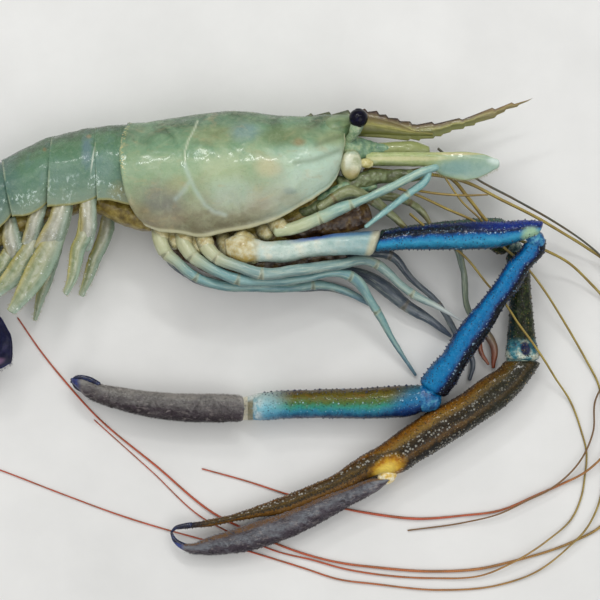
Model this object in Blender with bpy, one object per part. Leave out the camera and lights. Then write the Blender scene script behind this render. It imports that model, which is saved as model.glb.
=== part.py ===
"""Raw river prawn, whole, lying on its left side with its head to +X and its back to +Y.

Every table is in millimetres in the plan of the lying animal, and MM turns it into metres.
Z is the height over the surface that the prawn lies on. The shell's middle is about 16 mm up.
"""

import math

import bmesh
import bpy
import numpy as np

MM = 0.001
SPAN_STEPS = 8
JOIN_DISTANCE = 0.00004

# Slack is how far a kept row may leave out the smooth shape, in millimetres.
SHELL_SLACK = 0.35
LIMB_SLACK = 0.25
FEELER_SLACK = 0.16
BLADE_HALF = 1.2
BLADE_HEIGHT = 16.2

# Corners around each kind of limb or plate.
CLAW_SIDES = 10
LEG_SIDES = 6
FEELER_SIDES = 4
PLATE_SIDES = 8
FLESH_SIDES = 10

# How far the end of a claw's piece stands out at a joint, as a share of its half size.
JOINT_ROUND = 0.15

# Half outline of a shell across the body: along the body's height, then across its width.
SHELL_HALF = (
    (1.0, 0.0),
    (0.93, 0.27),
    (0.72, 0.58),
    (0.42, 0.85),
    (0.12, 0.99),
    (-0.18, 1.0),
    (-0.45, 0.98),
    (-0.76, 0.87),
    (-1.0, 0.70),
    (-0.97, 0.58),
    (-0.84, 0.36),
    (-0.79, 0.0),
)

# Shell rings: back point, belly-side point, bow along the body, height of the middle, half width.
CARAPACE = (
    (-29.4, 18.2, -23.7, -14.2, -4.5, 15.9, 14.2),
    (-24.6, 18.3, -20.2, -15.7, -3.0, 16.0, 15.2),
    (-17.0, 19.5, -13.8, -16.7, -1.4, 16.0, 16.1),
    (-7.7, 20.8, -6.1, -17.9, -0.4, 16.0, 16.5),
    (1.6, 21.8, 1.9, -16.3, 0.0, 16.0, 16.5),
    (10.2, 21.9, 10.2, -14.7, 0.2, 16.0, 16.2),
    (18.6, 20.6, 17.9, -12.5, 0.6, 16.2, 15.3),
    (25.6, 20.3, 25.0, -8.8, 1.0, 16.2, 13.8),
    (31.4, 20.7, 31.4, -4.5, 1.2, 16.2, 11.8),
    (35.2, 21.0, 35.2, -1.8, 1.0, 16.2, 10.0),
    (37.1, 20.3, 37.1, 1.0, 0.8, 16.2, 8.8),
    (38.5, 19.4, 38.3, 4.6, 0.6, 16.2, 7.4),
    (39.5, 18.4, 38.9, 8.2, 0.4, 16.2, 6.0),
)
ROSTRUM_ROOT = (
    (27.5, 19.5, 27.5, 9.6, 16.2, 8.6),
    (35.2, 20.5, 35.2, 10.9, 16.2, 7.6),
    (40.0, 21.0, 40.0, 13.1, 16.2, 6.2),
    (44.2, 21.0, 43.5, 15.0, 16.2, 4.4),
    (49.3, 20.2, 48.6, 15.7, 16.2, 3.0),
    (55.0, 18.9, 54.4, 15.4, 16.2, 2.2),
    (60.2, 17.6, 59.8, 15.4, 16.2, 1.5),
)
BLADE_TOP = (
    (22.4, 18.9), (28.2, 20.7), (29.1, 21.4), (29.9, 20.6), (34.9, 21.8), (35.7, 20.9),
    (41.0, 22.4), (41.8, 21.4), (46.4, 22.8), (47.2, 21.8), (50.2, 22.1), (51.0, 20.9),
    (53.1, 20.9), (53.9, 19.9), (56.8, 19.7), (57.6, 18.8), (60.8, 18.7), (61.4, 17.9),
    (63.0, 17.7), (67.7, 18.6), (68.6, 17.9), (76.5, 19.8), (77.4, 19.3), (87.0, 23.1),
    (88.0, 22.6), (93.3, 24.8), (94.1, 24.3), (98.2, 25.5),
)
BLADE_LOW = (
    (22.4, 14.1), (40.0, 14.1), (52.5, 13.4), (60.2, 12.5), (60.8, 13.1), (63.7, 12.5),
    (64.3, 13.1), (68.2, 13.2), (68.8, 13.9), (70.7, 13.9), (71.4, 14.6), (73.6, 15.2),
    (74.2, 15.9), (77.8, 16.3), (78.4, 17.0), (81.3, 17.4), (81.9, 18.2), (87.8, 19.8),
    (88.6, 20.7), (90.9, 21.7), (91.5, 22.5), (95.0, 23.3), (95.7, 24.0), (98.2, 25.0),
)
BLADE_TIP = (100.2, 26.2)
SEGMENTS = (
    (
        (-30.6, 17.9, -29.8, -7.7, -1.7, 15.3, 13.1),
        (-35.5, 17.6, -34.9, -6.4, -0.6, 14.7, 13.3),
        (-40.0, 16.9, -39.0, -6.2, 0.0, 14.0, 13.2),
    ),
    (
        (-40.7, 16.7, -40.0, -6.1, 0.0, 13.7, 13.6),
        (-47.4, 15.5, -46.1, -7.7, 0.0, 13.5, 13.9),
        (-53.8, 14.0, -55.0, -8.3, 0.0, 13.2, 13.6),
    ),
    (
        (-54.6, 13.7, -56.0, -8.0, 0.0, 12.8, 13.2),
        (-62.1, 10.4, -60.8, -11.0, 0.0, 12.9, 13.2),
        (-69.8, 6.2, -66.2, -11.5, 0.0, 12.3, 12.7),
    ),
    (
        (-70.7, 5.6, -67.2, -11.8, 0.0, 12.0, 12.3),
        (-80.3, 0.3, -72.3, -17.0, 0.0, 11.7, 12.1),
        (-89.0, -7.7, -76.8, -22.7, 0.0, 11.0, 11.3),
    ),
    (
        (-89.8, -8.6, -77.3, -23.5, 0.0, 10.6, 10.9),
        (-96.0, -16.6, -80.0, -26.9, 0.0, 10.4, 10.7),
        (-100.2, -26.2, -81.9, -31.0, 0.0, 9.5, 9.7),
    ),
    (
        (-100.5, -27.2, -82.2, -32.0, 0.0, 9.1, 9.3),
        (-101.8, -35.2, -83.8, -36.5, 0.0, 8.8, 9.0),
        (-99.5, -44.5, -86.4, -41.0, 0.0, 8.0, 7.6),
    ),
)
# Edge rows: one edge point, the other edge point, height of the middle, half thickness.
THORAX = (
    (-22.1, -13.4, -22.7, -16.6, 16.2, 3.2),
    (-17.3, -14.1, -18.9, -20.8, 16.2, 4.2),
    (-11.2, -14.7, -12.8, -24.6, 16.2, 4.4),
    (-4.8, -15.0, -5.8, -26.9, 16.2, 4.3),
    (2.6, -13.6, 2.6, -27.5, 16.2, 4.0),
    (11.2, -11.8, 12.2, -25.6, 16.2, 4.0),
    (19.2, -9.6, 21.1, -22.4, 16.2, 4.0),
    (26.2, -6.6, 28.8, -17.3, 16.2, 3.8),
    (32.6, -2.6, 35.2, -11.8, 16.2, 3.6),
    (38.4, 0.0, 40.6, -7.0, 16.2, 3.0),
)
BELLY = (
    (-30.1, -6.1, -27.8, -14.4, 15.2, 4.6),
    (-32.6, -5.4, -34.2, -14.7, 15.0, 5.4),
    (-37.1, -5.1, -38.1, -10.9, 14.6, 5.4),
    (-42.2, -5.6, -42.6, -9.3, 14.2, 5.2),
    (-49.3, -6.6, -49.6, -10.2, 13.8, 5.0),
    (-56.3, -7.8, -55.7, -11.8, 13.2, 4.8),
    (-62.4, -10.1, -60.8, -14.1, 12.8, 4.4),
    (-67.8, -12.5, -64.6, -16.3, 12.4, 4.0),
    (-73.0, -17.0, -69.8, -19.8, 12.0, 3.6),
    (-77.1, -22.4, -73.6, -24.6, 11.2, 3.2),
    (-79.7, -27.8, -76.5, -29.1, 10.4, 2.6),
)
FAN = {
    "tail_fan_right_outer": (
        (-90.2, -45.4, -91.5, -53.1, 13.6, 0.8),
        (-84.5, -43.5, -85.4, -57.6, 13.7, 0.9),
        (-76.8, -42.4, -76.8, -60.2, 13.7, 0.9),
        (-70.4, -43.5, -70.4, -60.5, 13.6, 0.8),
        (-67.5, -48.6, -67.4, -58.9, 13.5, 0.6),
    ),
    "tail_fan_right_inner": (
        (-90.2, -44.2, -91.5, -50.6, 11.4, 0.8),
        (-83.2, -41.9, -83.8, -54.4, 11.5, 0.8),
        (-75.2, -41.9, -75.2, -57.6, 11.5, 0.8),
        (-70.4, -45.4, -70.4, -57.0, 11.4, 0.6),
    ),
    "telson": (
        (-90.9, -42.2, -92.5, -49.3, 8.8, 1.3),
        (-83.2, -42.2, -83.8, -49.3, 8.8, 1.3),
        (-75.2, -43.8, -75.5, -48.6, 8.8, 1.0),
        (-71.0, -45.1, -71.0, -47.4, 8.8, 0.6),
    ),
    "tail_fan_left_inner": (
        (-90.2, -44.2, -91.5, -50.6, 6.2, 0.8),
        (-83.2, -41.9, -83.8, -54.4, 6.1, 0.8),
        (-75.2, -41.9, -75.2, -57.6, 6.0, 0.8),
        (-70.4, -45.4, -70.4, -57.0, 6.0, 0.6),
    ),
    "tail_fan_left_outer": (
        (-90.2, -45.4, -91.5, -53.1, 4.0, 0.8),
        (-84.5, -43.5, -85.4, -57.0, 3.9, 0.9),
        (-76.8, -42.9, -76.8, -58.9, 3.8, 0.9),
        (-71.7, -44.2, -71.7, -58.2, 3.8, 0.8),
        (-69.1, -48.0, -69.1, -56.3, 3.8, 0.6),
    ),
}
SCALES = {
    "antenna_scale_right": (
        (46.7, 8.8, 47.4, 4.5, 19.4, 0.9),
        (52.8, 8.8, 52.8, 4.5, 19.4, 1.0),
        (60.8, 8.8, 60.8, 4.3, 19.3, 1.0),
        (67.5, 8.8, 67.5, 3.7, 19.2, 1.0),
        (71.0, 8.8, 71.0, 1.4, 19.1, 0.9),
        (74.2, 8.8, 74.2, 0.5, 19.0, 0.9),
        (77.8, 8.9, 77.8, -0.2, 19.0, 0.9),
        (81.6, 8.6, 81.6, 0.3, 19.0, 0.8),
        (85.4, 7.8, 85.4, 1.8, 19.0, 0.7),
        (88.0, 6.8, 88.0, 3.3, 19.0, 0.6),
    ),
    "antenna_scale_left": (
        (46.7, 8.3, 47.4, 4.5, 11.2, 0.9),
        (52.8, 8.3, 52.8, 4.5, 11.2, 1.0),
        (60.8, 8.3, 60.8, 4.3, 11.3, 1.0),
        (67.5, 8.3, 67.5, 3.8, 11.4, 1.0),
        (71.0, 8.3, 71.0, 1.9, 11.5, 0.9),
        (77.8, 8.3, 77.8, 0.3, 11.5, 0.9),
        (81.6, 8.0, 81.6, 1.0, 11.5, 0.8),
        (85.4, 7.4, 85.4, 2.2, 11.5, 0.7),
    ),
}
ANTENNULE_STALK = (
    (45.4, 11.2, 45.4, 7.7, 15.9, 2.2),
    (49.9, 11.8, 49.9, 8.3, 15.9, 2.6),
    (55.7, 12.2, 55.7, 8.6, 15.9, 2.5),
    (62.7, 12.2, 62.7, 8.8, 15.9, 2.2),
    (66.6, 10.9, 66.2, 8.8, 15.9, 1.6),
)
CLAW_ROWS = {
    "claw_base_right": (
        (2.2, -18.9, 2.9, -24.6, 24.6, 2.8),
        (6.4, -17.4, 7.4, -26.6, 25.2, 4.0),
        (10.2, -18.2, 11.2, -26.2, 25.0, 3.5),
        (13.1, -19.4, 13.8, -26.2, 24.4, 3.3),
        (19.8, -19.4, 20.5, -26.6, 23.6, 3.9),
        (29.4, -18.4, 29.4, -24.7, 22.9, 3.7),
        (40.0, -17.0, 40.0, -24.1, 22.4, 3.8),
        (50.6, -16.2, 47.7, -24.3, 22.0, 3.9),
    ),
    "claw_arm_right": (
        (52.8, -16.5, 49.9, -23.0, 21.8, 3.9),
        (57.6, -15.7, 57.0, -22.5, 21.7, 4.3),
        (68.2, -14.3, 67.8, -22.3, 21.5, 4.4),
        (80.0, -13.6, 80.0, -22.3, 21.3, 4.5),
        (90.9, -13.4, 90.6, -21.4, 20.9, 4.5),
        (98.6, -12.9, 96.0, -19.5, 20.6, 4.1),
        (102.7, -13.3, 100.8, -17.9, 20.4, 3.2),
    ),
    "claw_wrist_right": (
        (97.0, -20.5, 104.3, -19.2, 18.4, 2.6),
        (96.0, -22.4, 104.0, -22.4, 17.9, 3.3),
        (91.8, -26.9, 98.9, -28.8, 17.2, 3.7),
        (88.0, -33.0, 95.4, -34.9, 16.2, 4.0),
        (83.8, -38.1, 90.9, -40.3, 15.0, 4.2),
        (79.7, -43.2, 87.0, -47.4, 13.6, 4.5),
        (74.9, -49.6, 82.2, -54.4, 11.9, 4.9),
        (71.4, -55.4, 78.4, -60.2, 10.2, 5.2),
        (67.2, -60.0, 75.5, -65.6, 8.6, 5.2),
        (64.3, -64.0, 72.6, -69.1, 7.3, 4.6),
    ),
    "claw_palm_right": (
        (63.4, -65.6, 66.6, -73.3, 6.2, 4.9),
        (60.2, -65.8, 62.7, -75.2, 5.9, 5.6),
        (53.8, -66.2, 55.7, -76.2, 5.7, 5.8),
        (43.2, -66.9, 43.2, -76.4, 5.7, 5.8),
        (33.3, -67.2, 32.6, -76.3, 5.6, 5.7),
        (21.1, -67.5, 21.1, -76.5, 5.4, 5.5),
        (11.5, -68.5, 11.8, -77.0, 5.2, 5.3),
        (8.3, -69.4, 8.3, -77.0, 3.6, 3.2),
        (3.8, -69.4, 3.8, -77.1, 2.9, 2.5),
        (-6.4, -69.1, -6.4, -77.0, 2.8, 2.4),
        (-17.6, -68.6, -17.6, -76.2, 2.8, 2.4),
        (-30.7, -67.4, -30.7, -73.3, 2.8, 2.3),
        (-39.7, -65.4, -38.7, -70.7, 2.8, 2.1),
        (-44.2, -64.0, -42.9, -68.6, 3.2, 1.8),
        (-47.0, -64.0, -46.1, -66.2, 4.2, 1.4),
    ),
    "claw_finger_right": (
        (7.0, -69.1, 7.0, -77.1, 9.1, 2.3),
        (1.6, -68.9, 1.6, -77.4, 8.5, 2.8),
        (-6.4, -68.7, -6.4, -77.4, 8.4, 2.8),
        (-17.6, -68.3, -17.6, -76.6, 8.3, 2.7),
        (-30.7, -66.9, -30.7, -73.9, 8.2, 2.6),
        (-39.7, -65.3, -38.7, -71.4, 8.0, 2.3),
        (-44.8, -63.5, -43.8, -69.0, 7.8, 1.8),
        (-47.0, -63.4, -46.7, -65.9, 7.6, 1.2),
    ),
    "claw_base_left": (
        (2.2, -18.9, 2.9, -24.6, 7.8, 2.8),
        (6.4, -17.4, 7.4, -26.6, 7.2, 4.0),
        (11.2, -18.2, 12.2, -26.2, 7.2, 3.5),
        (19.8, -18.9, 20.5, -25.9, 7.2, 3.7),
        (29.4, -17.9, 29.4, -24.6, 7.2, 3.6),
        (40.0, -16.8, 40.0, -23.7, 7.2, 3.6),
        (49.9, -16.2, 47.7, -23.0, 7.2, 3.7),
    ),
    "claw_arm_left": (
        (52.2, -15.8, 49.9, -22.4, 7.2, 3.7),
        (57.6, -15.0, 57.0, -21.4, 7.2, 3.9),
        (68.2, -13.7, 67.8, -21.1, 7.1, 4.0),
        (77.4, -12.8, 77.4, -21.1, 7.0, 4.0),
        (85.8, -12.0, 86.4, -21.8, 6.8, 4.0),
        (90.6, -12.3, 88.3, -23.4, 6.5, 3.8),
        (94.7, -16.6, 90.6, -23.7, 6.1, 3.2),
    ),
    "claw_wrist_left": (
        (91.8, -25.1, 96.3, -20.2, 5.8, 2.9),
        (92.2, -27.5, 98.9, -26.2, 5.6, 3.8),
        (92.5, -33.3, 99.5, -32.6, 5.4, 4.2),
        (92.8, -42.2, 100.5, -42.2, 5.3, 4.5),
        (92.2, -50.9, 101.4, -50.9, 5.2, 4.8),
        (91.5, -56.3, 102.7, -56.6, 5.1, 4.6),
    ),
    "claw_palm_left": (
        (91.2, -58.4, 102.7, -58.9, 5.1, 4.4),
        (89.3, -60.5, 98.9, -64.6, 5.3, 5.3),
        (84.5, -63.4, 93.1, -71.0, 5.3, 5.4),
        (76.2, -69.3, 84.8, -77.1, 5.3, 5.5),
        (67.2, -74.2, 74.6, -83.8, 5.3, 5.5),
        (58.2, -80.2, 65.3, -89.4, 5.2, 5.3),
        (51.2, -85.1, 57.3, -94.2, 5.0, 5.0),
        (46.4, -88.0, 49.3, -94.1, 4.9, 4.2),
        (41.6, -91.0, 45.1, -96.5, 4.9, 3.5),
        (36.2, -94.6, 38.7, -98.7, 4.9, 3.0),
        (27.5, -98.4, 29.1, -102.7, 4.9, 2.7),
        (19.8, -101.6, 21.1, -105.9, 4.8, 2.5),
        (10.2, -105.2, 10.9, -108.4, 4.6, 2.1),
        (2.2, -107.8, 2.2, -110.1, 4.4, 1.7),
        (-4.5, -109.1, -4.5, -111.4, 4.2, 1.4),
        (-10.9, -110.3, -10.9, -112.0, 4.0, 1.1),
        (-14.4, -111.0, -13.8, -112.3, 3.9, 0.8),
    ),
    "claw_finger_left": (
        (52.5, -95.8, 54.7, -96.3, 4.9, 3.6),
        (48.6, -96.6, 50.6, -99.8, 4.8, 4.0),
        (42.2, -99.2, 43.8, -103.2, 4.8, 3.9),
        (35.2, -101.3, 36.8, -107.2, 4.8, 3.7),
        (25.6, -105.3, 26.9, -112.6, 4.7, 3.5),
        (17.9, -107.5, 18.2, -116.2, 4.7, 3.3),
        (12.2, -109.3, 12.2, -118.2, 4.6, 3.0),
        (4.2, -112.3, 4.2, -119.7, 4.5, 2.6),
        (-3.8, -114.8, -4.5, -120.2, 4.3, 2.2),
        (-9.0, -116.8, -9.9, -119.6, 4.1, 1.7),
        (-12.5, -116.6, -13.4, -118.1, 4.0, 1.2),
        (-14.2, -115.2, -15.4, -116.2, 3.9, 0.8),
    ),
}
# Limb rows: middle of the limb, its height, half width, half thickness.
LEGS = {
    "leg_5_right": (
        (-15.0, -19.5, 24.0, 2.3, 2.2),
        (-17.0, -22.4, 24.0, 2.0, 1.9),
        (-13.8, -26.2, 24.0, 1.7, 1.7),
        (-7.7, -31.0, 23.5, 1.6, 1.6),
        (-1.0, -33.4, 21.5, 1.6, 1.5),
        (12.8, -34.4, 18.5, 1.5, 1.4),
        (25.6, -34.2, 15.5, 1.4, 1.3),
        (29.4, -33.5, 14.6, 1.6, 1.5),
        (34.9, -33.9, 13.0, 1.2, 1.2),
        (43.5, -37.1, 10.0, 1.1, 1.0),
        (48.3, -40.0, 8.0, 0.6, 0.6),
    ),
    "leg_4_right": (
        (-6.7, -20.8, 24.6, 2.3, 2.2),
        (-8.0, -23.7, 25.0, 2.1, 2.0),
        (-4.5, -27.2, 25.6, 1.9, 1.8),
        (1.0, -30.1, 26.0, 1.7, 1.7),
        (5.8, -31.8, 25.8, 1.9, 1.8),
        (14.4, -32.5, 24.0, 1.6, 1.5),
        (25.6, -31.6, 21.5, 1.5, 1.4),
        (39.4, -30.0, 18.2, 1.5, 1.4),
        (41.6, -30.7, 17.4, 1.7, 1.6),
        (48.6, -39.4, 12.5, 1.4, 1.3),
        (50.2, -41.9, 11.0, 1.4, 1.3),
        (56.0, -52.2, 5.6, 0.9, 0.9),
        (62.7, -62.4, 1.2, 0.4, 0.4),
    ),
    "leg_3_right": (
        (-2.6, -23.7, 26.0, 2.2, 2.1),
        (0.6, -25.1, 27.0, 2.0, 1.9),
        (5.8, -27.7, 27.8, 1.8, 1.7),
        (13.1, -30.0, 27.6, 1.9, 1.8),
        (25.6, -28.8, 24.8, 1.8, 1.6),
        (38.4, -27.0, 20.2, 1.7, 1.5),
        (47.4, -25.9, 17.0, 1.5, 1.4),
        (49.9, -26.9, 16.2, 1.6, 1.5),
        (59.2, -34.6, 12.2, 1.3, 1.2),
        (61.4, -36.2, 11.4, 1.4, 1.2),
        (69.8, -40.6, 8.8, 0.9, 0.9),
        (77.4, -45.0, 6.6, 0.4, 0.4),
    ),
    "leg_5_left": (
        (-15.0, -19.5, 8.6, 2.3, 2.2),
        (-16.3, -23.0, 7.4, 2.0, 1.9),
        (-9.0, -30.7, 4.0, 1.6, 1.5),
        (9.6, -34.2, 1.9, 1.5, 1.4),
        (25.6, -34.4, 1.7, 1.4, 1.3),
        (35.2, -34.4, 1.5, 1.2, 1.1),
        (43.5, -37.1, 1.3, 1.0, 0.9),
        (48.3, -40.0, 1.0, 0.5, 0.5),
    ),
    "leg_4_left": (
        (-7.4, -21.1, 7.2, 2.2, 2.1),
        (-6.7, -25.3, 5.6, 1.9, 1.8),
        (0.6, -29.4, 5.0, 1.7, 1.6),
        (9.6, -30.7, 5.2, 1.6, 1.5),
        (25.6, -30.7, 5.2, 1.6, 1.5),
        (39.0, -29.1, 4.8, 1.7, 1.6),
        (46.7, -30.7, 4.8, 1.9, 1.8),
        (54.1, -35.5, 5.2, 2.4, 2.0),
        (59.5, -40.0, 4.8, 2.0, 1.7),
        (68.2, -45.4, 3.8, 1.4, 1.2),
        (72.3, -48.6, 3.0, 0.9, 0.8),
        (73.9, -49.9, 2.6, 0.5, 0.5),
    ),
    "leg_3_left": (
        (-1.9, -23.0, 8.2, 2.1, 2.0),
        (0.6, -26.2, 9.0, 1.9, 1.8),
        (5.8, -29.0, 9.6, 1.7, 1.6),
        (25.6, -27.8, 9.4, 1.5, 1.4),
        (40.0, -25.4, 9.4, 1.4, 1.3),
        (51.2, -23.5, 10.0, 1.4, 1.3),
        (54.4, -24.0, 9.6, 1.5, 1.4),
        (60.8, -31.0, 6.8, 1.1, 1.0),
        (70.1, -39.7, 4.2, 1.0, 0.9),
        (76.2, -49.9, 3.0, 1.0, 0.9),
        (81.3, -59.5, 2.0, 0.8, 0.7),
        (80.3, -63.7, 1.4, 0.6, 0.6),
    ),
}
FIRST_LEG_RIGHT = (
    (18.2, -16.5, 23.6, 1.8, 1.7),
    (22.4, -15.8, 23.9, 2.0, 1.8),
    (32.0, -12.3, 24.8, 2.0, 1.8),
    (39.4, -8.9, 25.2, 1.9, 1.7),
    (41.9, -8.0, 25.2, 1.6, 1.5),
    (54.4, -2.6, 24.8, 1.3, 1.3),
    (65.6, 2.8, 24.2, 1.3, 1.3),
    (68.5, 3.7, 24.0, 1.2, 1.2),
)
FIRST_HAND_RIGHT = (
    (66.6, 2.8, 24.1, 1.0, 1.0),
    (66.2, 1.0, 23.8, 1.2, 1.1),
    (59.8, -4.8, 23.2, 1.2, 1.1),
    (52.8, -10.1, 23.8, 1.0, 0.9),
    (46.7, -14.9, 26.4, 0.6, 0.6),
)
FIRST_LEG_LEFT = (
    (18.2, -16.3, 10.3, 1.5, 1.4),
    (23.7, -18.2, 11.0, 1.4, 1.3),
    (29.4, -20.2, 12.6, 1.4, 1.3),
    (40.0, -20.8, 13.0, 1.4, 1.3),
    (57.6, -20.2, 13.3, 1.4, 1.3),
    (70.4, -19.2, 13.3, 1.4, 1.3),
    (74.6, -20.2, 13.0, 1.4, 1.3),
    (77.8, -28.2, 9.4, 1.1, 1.0),
    (80.0, -42.2, 4.6, 1.0, 0.9),
    (85.1, -48.3, 3.4, 1.3, 1.2),
    (88.0, -53.8, 2.8, 1.3, 1.1),
    (87.8, -59.8, 2.2, 0.5, 0.5),
)
FIRST_PINCER_LEFT = (
    (85.3, -48.3, 3.4, 0.7, 0.6),
    (83.5, -51.5, 3.0, 0.9, 0.8),
    (83.8, -55.0, 2.6, 0.8, 0.7),
    (86.1, -58.9, 2.2, 0.4, 0.4),
)
MOUTH_LEGS = {
    "mouth_leg_right": (
        (32.0, -9.3, 21.4, 1.7, 1.3),
        (36.5, -6.1, 21.4, 1.9, 1.5),
        (41.3, -4.0, 21.3, 2.2, 1.7),
        (48.3, -6.4, 20.6, 1.7, 1.4),
        (54.4, -10.9, 19.4, 1.4, 1.2),
        (58.9, -15.0, 18.2, 0.9, 0.8),
    ),
    "mouth_leg_left": (
        (32.0, -9.3, 11.0, 1.7, 1.3),
        (40.0, -6.4, 11.0, 1.9, 1.5),
        (52.8, -5.1, 11.4, 1.5, 1.3),
        (61.1, -7.4, 12.4, 1.2, 1.1),
        (65.3, -10.9, 13.2, 1.0, 0.9),
        (67.2, -13.8, 13.6, 0.7, 0.6),
    ),
}
EYES = {
    "eye_right": (
        (41.0, 12.5, 20.2, 1.3, 1.3),
        (42.4, 14.2, 22.6, 1.5, 1.5),
        (43.4, 16.2, 24.4, 2.0, 1.9),
        (43.8, 18.2, 25.2, 2.9, 2.7),
        (44.2, 19.5, 25.3, 3.0, 2.9),
        (44.4, 20.5, 25.3, 2.4, 2.3),
    ),
    "eye_left": (
        (41.0, 12.5, 12.2, 1.3, 1.3),
        (42.4, 14.2, 9.8, 1.5, 1.5),
        (43.4, 16.2, 8.0, 2.0, 1.9),
        (43.8, 18.2, 7.2, 2.9, 2.7),
        (44.2, 19.5, 7.1, 3.0, 2.9),
        (44.4, 20.5, 7.1, 2.4, 2.3),
    ),
}
ANTENNA_ROOTS = {
    "antenna_root_right": (
        (40.7, 7.2, 40.7, 2.4, 20.8, 1.5),
        (41.9, 8.6, 41.7, 0.2, 21.3, 2.2),
        (43.4, 8.6, 43.3, -0.2, 21.4, 2.3),
        (44.8, 7.8, 44.8, 2.2, 21.4, 1.8),
    ),
    "antenna_root_left": (
        (40.7, 7.0, 40.7, 2.4, 11.2, 1.5),
        (41.9, 8.2, 41.7, 0.2, 10.8, 2.2),
        (43.4, 8.2, 43.3, 0.0, 10.7, 2.3),
        (44.8, 7.4, 44.8, 2.2, 10.7, 1.8),
    ),
}
HEAD_FLESH = (
    (40.6, 11.4, 40.6, 1.2, 16.2, 1.5),
    (42.0, 12.2, 42.0, -0.4, 16.2, 1.9),
    (43.4, 10.8, 43.4, 1.4, 16.2, 1.5),
)
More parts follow.
